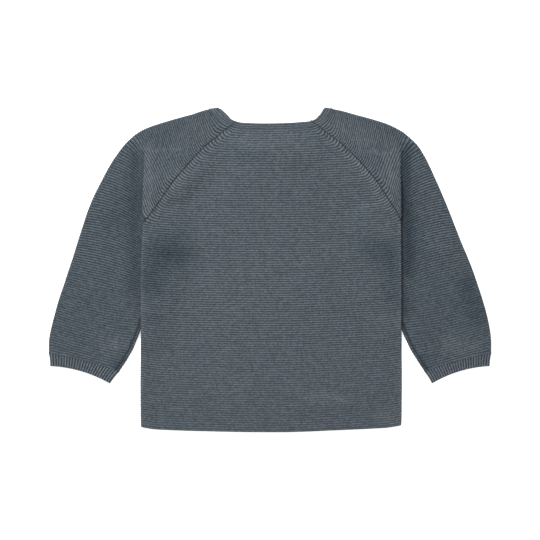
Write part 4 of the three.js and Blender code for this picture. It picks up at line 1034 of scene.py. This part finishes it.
def add_tuck(cloth, rows):
    side = rows.side
    seam_end = rows.counts[SEAM_ROWS - 1]
    underarm = seam_end + (rows.a[SEAM_ROWS - 1, 1] - RAGLAN[0, 0] - 0.6) / (SEAM_STEP * SEAM_SINE)
    first = rows.counts[TUCK_FIRST_ROW]
    steps = int((underarm - first) * STEPS_PER_RIDGE)
    start = np.floor(underarm * STEPS_PER_RIDGE) / STEPS_PER_RIDGE - steps / STEPS_PER_RIDGE
    counts = start + np.arange(steps + 1) / STEPS_PER_RIDGE
    probe = np.arange(0, 62, 0.1)[None, :] * np.ones((len(counts), 1))
    p = tuck_rows(rows, counts[:, None] + 0 * probe, probe)
    fold = side * read(TUCK_FOLD, 1, p[..., 1]) + read(TUCK_FOLD, 2, p[..., 1])
    out = (p[..., 1] > TUCK_START) | (side * (p[..., 0] - fold) > 0)
    reach = np.maximum(probe[0][np.argmax(out, axis=1)], 0.4)
    reach = np.where(out.any(axis=1), reach, probe[0, -1])
    tail, head = np.array(FOLD_TAIL), np.array([0, 0.12, 0.35, 0.75])
    scale = np.minimum(1, reach[:, None] / 14)
    middle_from, middle_to = head[-1] * scale, reach[:, None] - tail[-1] * scale
    middle = middle_from + (middle_to - middle_from) * np.arange(1, 16) / 16
    d = np.concatenate([head * scale, middle, reach[:, None] - tail[::-1] * scale], 1)
    number = counts[:, None]
    p = tuck_rows(rows, number + 0 * d, d)
    x, y = p[..., 0], p[..., 1]
    fold = side * read(TUCK_FOLD, 1, y) + read(TUCK_FOLD, 2, y)
    inside = np.maximum(side * (fold - x), 0)
    share = tuck_share(y)
    height = LIFT * share - 0.15 * (1 - share)
    fall = edge_fall(inside, 1.75) * np.clip(height / 1.75, 0.05, 1)
    near_seam = edge_fall(d, SEAM_RADIUS) * smooth(share * 6)
    base = TWO_PLY - TUCK_SINK
    z = np.maximum(TWO_PLY + height - np.maximum(fall, near_seam), base + 0.12)
    weights = smooth((height + 0.1) / 0.6) * (0.55 + 0.45 * smooth((inside - 0.3) / 1.6)) * smooth(reach[:, None] / 3)
    # Painted shade, a little less where the tuck rises, with the listed painted shade and highlights; the ridges get
    # painted shade and highlight as on the sleeve
    painted_shade = SLEEVE_PAINTED_SHADE - 0.04 * smooth(share * 1.5) + drape(TUCK_PAINTED_SHADES, x, y, bow=0)
    ridge_shade_and_bump = SLEEVE_RIDGE_SHADE_AND_BUMP + SEAM_RIDGE_SHADE_AND_BUMP * (1 - smooth((d - 4.5) / 4))
    top = cloth.add_grid(x, y, z, d / STITCH, number, weights, flip=side < 0, painted_shade=painted_shade, ridge_shade_and_bump=ridge_shade_and_bump)
    # The fold's wall turns back in below its widest line
    wall_x = x[:, -1] - side * 1.1 * smooth(share[:, -1] * 1.4)
    belly_z = base + (z[:, -1] - base) * 0.62
    column = np.stack([x[:, -1], x[:, -1], wall_x], 1)
    heights = np.stack([z[:, -1], belly_z, np.full(len(x), base)], 1)
    ys = np.stack([y[:, -1]] * 3, 1)
    wall = cloth.add_grid(column, ys, heights, 0, number, 0.5 * smooth(share[:, -1:] * 3), flip=side < 0)
    # The seam side drops straight, and a bottom sheet closes the shell inside the tube
    inner = cloth.add_grid(
        np.stack([x[:, 0], x[:, 0]], 1), np.stack([y[:, 0], y[:, 0]], 1),
        np.stack([np.full(len(x), base), z[:, 0]], 1), 0, number, 0, flip=side < 0,
    )
    t = np.linspace(0, 1, 5)
    under_x = x[:, :1] + (wall_x[:, None] - x[:, :1]) * t
    under_y = y[:, :1] + (y[:, -1:] - y[:, :1]) * t
    under = cloth.add_grid(under_x, under_y, np.full(under_x.shape, base), 0, number, 0, flip=side > 0)
    for row, flipped in ((0, side > 0), (-1, side < 0)):
        ring = [*inner[row], *top[row][1:], *wall[row][1:]]
        cloth.zip_edges(np.array(ring), under[row], flip=flipped)


sleeve_left, sleeve_left_cut = make_sleeve("sleeve_left_tube", -1, 11.0)
sleeve_right, sleeve_right_cut = make_sleeve("sleeve_right_tube", 1, 13.0)
print("sleeve cut in m and m2:", sleeve_left_cut)

# %% [markdown]
# ## The cuffs
# Each cuff is a short tube of one-and-one rib, linked to the sleeve's end: smooth columns stand proud between deep
# gaps. An array of bars would do from above, but the ribs have to run round both folds. So the cuff is a closed
# shell like the sleeve, and the same relief tree cuts the gaps, now counted across instead of along.

# %% Making both cuffs
CUFF_RIBS, CUFF_DEPTH, CUFF_DRAW = 25, 11, 0.35
CUFF_FROM, CUFF_TO = -0.03, 1.09
RIB_CREST, CUFF_ROWS = 0.25, 24
RIB_RELIEF = (0.75, 1.6, 0.12)


def cuff_points(rows, shares, places):
    """Points of a cuff at shares of the way down and distances from its inner edge."""
    lean = (CUFF_END[2] + CUFF_END[7]) / 2
    first = rows.a[-1], rows.b[-1], rows.c[-1]
    last = (
        np.array([rows.side * CUFF_END[0] + CUFF_END[2], CUFF_END[1]]),
        np.array([rows.side * CUFF_END[3] + lean, CUFF_END[4]]),
        np.array([rows.side * CUFF_END[5] + CUFF_END[7], CUFF_END[6]]),
    )
    spans = [np.linalg.norm(b - a) + np.linalg.norm(c - b) for a, b, c in (first, last)]
    length = spans[0] + (spans[1] - spans[0]) * shares
    draw = CUFF_DRAW * np.sin(np.pi * shares)
    part = (draw + (length - 2 * draw) * places / length) / length
    p, q = row_shape(*first, part * spans[0]), row_shape(*last, part * spans[1])
    return p + (q - p) * shares[..., None], length


def make_cuff(name, side, seed):
    rows = sleeve_rows[side]
    cloth = Cloth()
    shares = np.linspace(CUFF_FROM, CUFF_TO, CUFF_ROWS + 1)[:, None]
    length = cuff_points(rows, shares, 0 * shares)[1]
    tops, half = [], np.sin(FOLD_ANGLES) * FOLD_RADIUS
    for upper in (True, False):
        cells = CUFF_RIBS * (8 if upper else 6)
        rounding = FOLD_RADIUS * (1 - np.cos(FOLD_ANGLES))
        middle = rounding[-1] + (length - 2 * rounding[-1]) * np.arange(1, cells) / cells
        ones = np.ones_like(length)
        d = np.concatenate([ones * rounding, middle, length - rounding[::-1]], 1)
        thick = np.concatenate([half, np.full(cells - 1, FOLD_RADIUS), half[::-1]]) * ones
        s = shares + 0 * d
        p, _ = cuff_points(rows, s, d)
        rise = RIB_CREST * smooth((thick - 0.6) / 1.0)
        rise = rise - 0.35 * (1 - smooth((CUFF_TO - s) * CUFF_DEPTH / 0.9)) * thick / FOLD_RADIUS
        z = TWO_PLY / 2 + (thick + rise if upper else -thick)
        ribs = CUFF_RIBS * d / length + 0.5
        weights = 0.25 + 0.75 * smooth(np.minimum(s * CUFF_DEPTH, 0.7) / 0.7)
        depth = s * CUFF_DEPTH / 1.35
        # Painted shade: a little darker all over, and most at the join with the sleeve
        painted_shade = 0.035 + 0.12 * bell(s * CUFF_DEPTH, 0.6)
        tops.append(cloth.add_grid(p[..., 0], p[..., 1], z, depth, ribs, weights, flip=not upper, painted_shade=painted_shade))
    places = slit_places(length, WALL + 0.2)
    slit_shares = shares + 0 * places
    r, _ = cuff_points(rows, slit_shares, places)
    for k, slit in enumerate(cloth.add_slit(r, slit_shares * 8, places / 2)):
        cloth.zip_edges(tops[k][0], slit[0], flip=k == 0)
        cloth.zip_edges(tops[k][-1], slit[-1], flip=k == 1)
    deep = CUFF_DEPTH * (CUFF_TO - CUFF_FROM)
    cut = (2 * float(length.mean()) * MM, deep * MM), 2 * float(length.mean()) * deep * MM * MM
    return new_piece(name, cloth.mesh(name), rib_cotton, *RIB_RELIEF, seed), cut


cuff_left, cuff_left_cut = make_cuff("cuff_left_rib", -1, 17.0)
cuff_right, cuff_right_cut = make_cuff("cuff_right_rib", 1, 19.0)

# %% [markdown]
# ## The neckband
# One narrow strip goes round the whole neck: up one front, over the shoulder, along the back and down the other
# front. Its rows run along it, so it shows three lengthwise ridges. It is swept: a ring of points is set up at every
# millimetre of the neck edge, with a direction across and a direction outwards that turns over at each shoulder.

# %% Sections of the neckband
BAND_RIDGES, TURN_LEFT_OUT = 3, 1.8
BAND_RELIEF = (0.42, 1.2, 0.1)
# How much wider the band is drawn on each shoulder, over the end of the raglan
SHOULDER_EXTRA = {-1: 2.7, 1: 1.5}


def flat_run(points, sides, height, upper):
    """Sections of one flat run: inner corner, direction across and direction outwards."""
    edge, way, passed = neck_line(points, *sides)
    stop = passed[-1] - (TURN_LEFT_OUT if len(sides) > 1 and sides[1] else 0)
    at = np.linspace(TURN_LEFT_OUT, stop, int(stop))
    e, w = (np.stack([np.interp(at, passed, v[:, k]) for k in (0, 1)], 1) for v in (edge, way))
    z = height(e[:, 0], e[:, 1]) + (0 if upper else WALL)
    out = np.zeros((len(at), 3)) + np.array([0, 0, 1 if upper else -1])
    extra = np.zeros(len(at))
    for side, distance in zip(sides, (at, passed[-1] - at)):
        if side:
            extra += SHOULDER_EXTRA[side] * (1 - smooth((distance - 9) / 9))
    w *= (1 + extra / NECKBAND_WIDTH)[:, None]
    return [(np.array([*e[i], z[i]]), np.array([*w[i], 0]), out[i]) for i in range(len(at))]


def shoulder_turn(points, side, upwards):
    """Sections that carry the band over a shoulder, from the front to the back or the other way."""
    edge, way, _ = neck_line(points, side)
    across = np.array([*way[0], 0])
    beyond = np.array([-side * across[1], side * across[0], 0])
    across = across * (1 + SHOULDER_EXTRA[side] / NECKBAND_WIDTH)
    beyond *= np.sign(beyond[1])
    centre = np.array([*edge[0], 0]) - beyond * FOLD_RADIUS + np.array([0, 0, FOLD_RADIUS])
    angles = np.linspace(-np.pi / 2, np.pi / 2, 9)[1:-1] * (1 if upwards else -1)
    outs = [beyond * np.cos(a) + np.array([0, 0, np.sin(a)]) for a in angles]
    return [(centre + out * SEAM_GAP / 2, across, out) for out in outs]


sections = [
    *flat_run(front_neck_points(-1), (-1, 0), outer_front_z, False)[::-1],
    *shoulder_turn(front_neck_points(-1), -1, True),
    *flat_run(BACK_NECK, (-1, 1), back_z, True),
    *shoulder_turn(front_neck_points(1), 1, False),
    *flat_run(front_neck_points(1), (1, 0), inner_front_z, False),
]
corner, across, outwards = (np.array([s[k] for s in sections]) for k in range(3))
print("neckband sections:", len(sections))

# %% Making the neckband
outer_places = np.array([0, 0.02, 0.05, *np.arange(1, 12) / 12, 0.95, 0.98, 1])
inner_places = np.array([1, 0.9, 0.6, 0.3, 0.1, 0])
from_rim = np.minimum(outer_places, 1 - outer_places) * NECKBAND_WIDTH
outer_up = 1 - edge_fall(from_rim, 0.55) / WALL
inner_up = np.where((inner_places < 0.05) | (inner_places > 0.95), 0.14, 0)
ring_across = np.concatenate([outer_places, inner_places, [0]])
ring_up = np.concatenate([outer_up, inner_up, outer_up[:1]])
ring_weight = np.concatenate([0.3 + 0.7 * smooth(from_rim / 0.5), np.zeros(7)])
points = (
    corner[:, None] + across[:, None] * (NECKBAND_WIDTH * ring_across)[:, None]
    + outwards[:, None] * (WALL * ring_up)[:, None]
)
middle_line = corner + across * NECKBAND_WIDTH / 2
band_passed = passed_by(np.linalg.norm(np.diff(middle_line, axis=0), axis=1))
band_cloth = Cloth()
# The band is made a little lighter all over
ring = band_cloth.add_grid(
    points[..., 0], points[..., 1], points[..., 2], band_passed[:, None] / STITCH, BAND_RIDGES * ring_across,
    ring_weight, painted_shade=-0.06,
)
band_cloth.faces.append(tuple(ring[0, :-1][::-1].tolist()))
band_cloth.faces.append(tuple(ring[-1, :-1].tolist()))
neckband = new_piece("neck_band", band_cloth.mesh("neck_band"), band_cotton, *BAND_RELIEF, 23.0)
print("neckband length in mm:", round(float(band_passed[-1]), 1))

# %% [markdown]
# ## Linking
# The knitted parts are linked to each other loop by loop, which leaves a fine chain in every seam. Hundreds of small
# stitches along a line are work for Geometry Nodes: a line is cut into even steps, and on each step stands one
# short, low stitch that is turned along the line. A chance number makes them a little uneven.

# %% The tree that lays stitches along a line
linking_tree, given = new_tree("linking_stitches", [
    ("Spacing", "NodeSocketFloat"), ("Stitch Length", "NodeSocketFloat"), ("Stitch Width", "NodeSocketFloat"),
    ("Stitch Height", "NodeSocketFloat"), ("Slant", "NodeSocketFloat"), ("Unevenness", "NodeSocketFloat"),
    ("Seed", "NodeSocketInt"), ("Material", "NodeSocketMaterial"),
])
line = add(linking_tree, "GeometryNodeMeshToCurve", {"Mesh": given["Geometry"]}).outputs[0]
steps = add(
    linking_tree, "GeometryNodeResampleCurve", {"Curve": line, "Length": given["Spacing"]}, mode="LENGTH",
).outputs[0]
tangent = add(linking_tree, "GeometryNodeInputTangent").outputs[0]
along = add(
    linking_tree, "FunctionNodeAlignRotationToVector", {"Vector": tangent}, axis="X", pivot_axis="Z",
).outputs[0]
chance = add(
    linking_tree, "FunctionNodeRandomValue", {"Min": -1.0, "Max": 1.0, "Seed": given["Seed"]}, data_type="FLOAT",
)
chance = next(o for o in chance.outputs if o.type == "VALUE")
turn = calc(linking_tree, "MULTIPLY_ADD", chance, given["Unevenness"], given["Slant"])
twist = add(
    linking_tree, "FunctionNodeAxisAngleToRotation", {"Axis": (0, 0, 1), "Angle": turn},
).outputs[0]
turned = add(
    linking_tree, "FunctionNodeRotateRotation", {"Rotation": along, "Rotate By": twist}, rotation_space="LOCAL",
).outputs[0]
size = add(linking_tree, "ShaderNodeCombineXYZ", {
    "X": given["Stitch Length"], "Y": given["Stitch Width"], "Z": given["Stitch Height"],
}).outputs[0]
loop = add(linking_tree, "GeometryNodeMeshUVSphere", {"Segments": 8, "Rings": 5, "Radius": 0.5}).outputs[0]
placed = add(linking_tree, "GeometryNodeInstanceOnPoints", {
    "Points": steps, "Instance": loop, "Rotation": turned, "Scale": size,
}).outputs[0]
end_tree(linking_tree, placed, given["Material"])


def link_line(name, lines, size, slant, material, seed):
    """Stitches along one or more lines of points in millimetres; size is spacing, length, width and height."""
    points = np.concatenate(lines)
    starts = np.cumsum([0, *(len(run) for run in lines)])
    edges = [(i, i + 1) for a, b in zip(starts, starts[1:]) for i in range(a, b - 1)]
    data = bpy.data.meshes.new(name)
    data.from_pydata((points * MM).tolist(), edges, [])
    piece = new_object(name, data)
    labels = ("Spacing", "Stitch Length", "Stitch Width", "Stitch Height")
    values = {label: value * MM for label, value in zip(labels, size)}
    run_tree(piece, linking_tree, {
        **values, "Slant": np.radians(slant), "Unevenness": 0.12, "Seed": seed, "Material": material,
    })
    print(f"{name}: {len(piece.data.polygons)} faces")
    return piece


# %% Linking along the raglan, the sides, the underarms and the neckband
RAGLAN_CHAIN_TOP, SIDE_CHAIN_FOOT = {-1: 137.2, 1: 138.4}, -141.5


def raglan_chain(side):
    y = np.linspace(RAGLAN[0, 0] + 0.5, RAGLAN_CHAIN_TOP[side], 60)
    x = edge_x(RAGLAN, side, y)
    return np.stack([x, y, back_z(x, y) + WALL - 0.22], 1)


def side_chain(side):
    y = np.linspace(SIDE_CHAIN_FOOT, RAGLAN[0, 0] - 0.5, 60)
    x = edge_x(SIDE, side, y) - side * 0.3
    return np.stack([x, y, outer_front_z(x, y) + WALL + SEAM_GAP / 2], 1)


def underarm_chain(side):
    rows = sleeve_rows[side]
    counts = np.linspace(rows.counts[15], rows.ridges - 0.2, 50)
    a, b, c = rows.ends(counts)
    p = row_shape(a, b, c, np.full(len(counts), UNDERARM_SEAM))
    return np.concatenate([p, np.full((len(p), 1), TWO_PLY - 0.6)], 1)


def neckband_chain():
    place = corner + across * (NECKBAND_WIDTH + SEAM_GAP / 2) + outwards * (WALL - 0.3)
    return place[3:-3]


raglan_linking = link_line(
    "raglan_linking", [raglan_chain(-1), raglan_chain(1)], (1.6, 2.1, 0.85, 0.5), 14, linking_yarn, 3,
)
side_linking = link_line("side_linking", [side_chain(-1), side_chain(1)], (2.0, 2.4, 0.9, 0.5), 18, linking_yarn, 4)
underarm_left = link_line("underarm_linking_left", [underarm_chain(-1)], (1.6, 2.2, 1.2, 0.55), 14, linking_yarn, 5)
underarm_right = link_line("underarm_linking_right", [underarm_chain(1)], (1.6, 2.2, 1.2, 0.55), 14, linking_yarn, 6)
neckband_linking = link_line("neckband_linking", [neckband_chain()], (1.7, 1.7, 0.8, 0.45), 0, neck_yarn, 7)

# %% [markdown]
# ## The buttons
# Five four-hole buttons fasten the laps. They lie under the garment, face down, so only the view from below shows
# them. Each is turned like a real blank, from one profile: a dished middle inside a raised rim. The holes are cut
# with a Boolean, and two short runs of thread cross the face between them.

# %% Button finish
button_resin, resin_tree, resin_shader = new_material("polyester_resin_button", 0.38)
place = add(resin_tree, "ShaderNodeTexCoord").outputs["Object"]
cloud = add(resin_tree, "ShaderNodeTexNoise", {"Vector": place, "Scale": 260.0, "Detail": 4.0, "Distortion": 1.2})
swirl = two_tone(resin_tree, cloud.outputs["Fac"], (0.3, 0.72), ("#39414A", "#5C6670"))
resin_tree.links.new(swirl, resin_shader.inputs["Base Color"])
scratches = noise_at(resin_tree, place, 1500.0, 2.0)
gloss = add(resin_tree, "ShaderNodeMapRange", {"Value": scratches, "To Min": 0.3, "To Max": 0.5}).outputs["Result"]
resin_tree.links.new(gloss, resin_shader.inputs["Roughness"])
bump = add(resin_tree, "ShaderNodeBump", {"Height": scratches, "Strength": 0.08, "Distance": 0.00005}).outputs[0]
resin_tree.links.new(bump, resin_shader.inputs["Normal"])

# %% Turning the buttons
BUTTON_TOP_Y, BUTTON_STEP, BUTTON_LINE_X = 92, 56, 0.7
HOLE_RADIUS, HOLE_SPREAD = 0.75, 1.35
# (radius, height) from the middle of the dished face round the rim to the middle of the far side
BUTTON_PROFILE = [
    (0, 0.42), (2.6, 0.4), (3.7, 0.34), (4.15, 0.16), (4.5, 0.03), (4.85, 0), (5.25, 0.06), (5.6, 0.3), (5.75, 0.65),
    (5.7, 1.0), (5.5, 1.32), (5.1, 1.6), (4.4, 1.76), (3, 1.8), (0, 1.8),
]
BUTTON_FACETS = 48
THREAD_X, THREAD_Z = 0.955, 0.3


def turned_mesh(name, profile, facets):
    angles = 2 * np.pi * np.arange(facets) / facets
    rings = [(r * np.cos(angles), r * np.sin(angles), np.full(facets, h)) for r, h in profile[1:-1]]
    points = np.concatenate([np.stack(ring, -1) for ring in rings] + [[(0, 0, profile[0][1]), (0, 0, profile[-1][1])]])
    faces, last = [], (len(rings) - 1) * facets
    for i in range(facets):
        j = (i + 1) % facets
        faces.append((len(points) - 2, j, i))
        faces.append((last + i, last + j, len(points) - 1))
        faces.extend((k * facets + i, k * facets + j, (k + 1) * facets + j, (k + 1) * facets + i)
                     for k in range(len(rings) - 1))
    data = bpy.data.meshes.new(name)
    data.from_pydata((points * MM).tolist(), [], faces)
    return data


def joined(name, meshes):
    """One mesh from several (mesh, offset in millimetres) pairs."""
    points, faces = [], []
    for data, offset in meshes:
        start = len(points)
        points.extend([tuple(np.array(v.co) + np.array(offset) * MM) for v in data.vertices])
        faces.extend([tuple(start + k for k in p.vertices) for p in data.polygons])
    made = bpy.data.meshes.new(name)
    made.from_pydata(points, [], faces)
    return made


pin = turned_mesh("hole_pin", [(0, -1), (HOLE_RADIUS, -1), (HOLE_RADIUS, 3), (0, 3)], 16)
spread = [(HOLE_SPREAD * np.cos(a), HOLE_SPREAD * np.sin(a), 0) for a in np.radians([45, 135, 225, 315])]
blank = new_object("blank", turned_mesh("blank", BUTTON_PROFILE, BUTTON_FACETS))
pins = new_object("pins", joined("pins", [(pin, place) for place in spread]))
cutter = blank.modifiers.new("holes", "BOOLEAN")
cutter.operation, cutter.solver, cutter.object = "DIFFERENCE", "EXACT", pins
graph = bpy.context.evaluated_depsgraph_get()
drilled = bpy.data.meshes.new_from_object(blank.evaluated_get(graph), depsgraph=graph)
for obj in (blank, pins):
    bpy.data.objects.remove(obj)
print("button faces:", len(drilled.polygons))

# %% Setting the buttons and their thread
buttons, thread_lines = [], []
for number in range(5):
    centre = (BUTTON_LINE_X, BUTTON_TOP_Y - number * BUTTON_STEP, 0)
    data = joined(f"turned_button_{number + 1}", [(drilled, centre)])
    data.materials.append(button_resin)
    data.polygons.foreach_set("use_smooth", [True] * len(data.polygons))
    data.set_sharp_from_angle(angle=np.radians(40))
    buttons.append(new_object(data.name, data))
    for k in (-0.25, 0.0, 0.25):
        for way in (-1, 1):
            x, y = centre[0] + way * THREAD_X + k, centre[1]
            thread_lines.append(np.array([(x, y - 0.01, THREAD_Z), (x, y + 0.01, THREAD_Z)]))
button_thread = link_line("button_thread", thread_lines, (1.0, 2.5, 0.32, 0.3), 0, neck_yarn, 8)

# %% [markdown]
# ## Floor and light
# The garment is photographed on plain white. A large soft light stands above its neck end, and a pale surround
# fills in from all sides, so that only the folds and the ridges cast a little shade.

# %% Floor, world and lamps
FLOOR_HALF, FLOOR_Z, PAPER_GLOW, SURROUND_STRENGTH = 3, -0.0003, 0.65, 0.45
FLOOR_CORNERS = [(x * FLOOR_HALF, y * FLOOR_HALF, FLOOR_Z) for x, y in ((-1, -1), (1, -1), (1, 1), (-1, 1))]
floor_mesh = bpy.data.meshes.new("floor")
floor_mesh.from_pydata(FLOOR_CORNERS, [], [(0, 1, 2, 3)])
floor = new_object("floor", floor_mesh)
paper, paper_tree, paper_shader = new_material("matte_white_paper", 0.9)
grain = add(paper_tree, "ShaderNodeTexNoise", {"Scale": 900.0}).outputs["Fac"]
paper_tint = add(paper_tree, "ShaderNodeMapRange", {"Value": grain, "To Min": 0.93, "To Max": 0.95}).outputs["Result"]
paper_tree.links.new(paper_tint, paper_shader.inputs["Base Color"])
paper_shader.inputs["Emission Color"].default_value = (1, 1, 1, 1)
paper_shader.inputs["Emission Strength"].default_value = PAPER_GLOW
floor_mesh.materials.append(paper)

world = bpy.data.worlds.new("pale_surround")
bpy.context.scene.world = world
world.use_nodes = True
world.node_tree.nodes["Background"].inputs["Color"].default_value = (1, 1, 1, 1)
world.node_tree.nodes["Background"].inputs["Strength"].default_value = SURROUND_STRENGTH


def soft_lamp(name, place, size, power):
    lamp_data = bpy.data.lights.new(name, "AREA")
    lamp_data.shape, lamp_data.size, lamp_data.energy = "DISK", size, power
    lamp = new_object(name, lamp_data)
    lamp.location = place
    direction = -lamp.location
    lamp.rotation_mode = "QUATERNION"
    lamp.rotation_quaternion = direction.to_track_quat("-Z", "Y")
    return lamp


soft_lamp("lamp_above_neck", (-0.75, 1.3, 1.35), 0.9, 44)
soft_lamp("lamp_above_hem", (0.5, -1.1, 1.9), 1.6, 8)

# %% Attaching each piece and hiding its CAD part
fronts = ["front_left_panel", "front_right_panel"]
for piece, node, slot, cut, rests_on, stitches in (
    (front_left, "front_left", "garter_knit", front_left_cut, ["floor"], []),
    (front_right, "front_right", "garter_knit", front_right_cut, ["front_left_panel", "sleeve_right_tube"], []),
    (back, "back", "garter_knit", back_cut, fronts, [neckband, raglan_linking, side_linking, neckband_linking]),
    (sleeve_left, "sleeve_left", "garter_knit", sleeve_left_cut, ["floor"], [underarm_left]),
    (sleeve_right, "sleeve_right", "garter_knit", sleeve_right_cut, ["floor"], [underarm_right]),
    (cuff_left, "cuff_left", "rib_knit", cuff_left_cut, ["floor"], []),
    (cuff_right, "cuff_right", "rib_knit", cuff_right_cut, ["floor"], []),
):
    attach(piece, "root")
    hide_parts(node)
    size, area = cut
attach(neckband, "root")
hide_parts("neckband")
for stitches in (raglan_linking, side_linking, underarm_left, underarm_right, neckband_linking, button_thread):
    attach(stitches, "root")
for number, button in enumerate(buttons, 1):
    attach(button, "root")
    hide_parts(f"button_{number}")
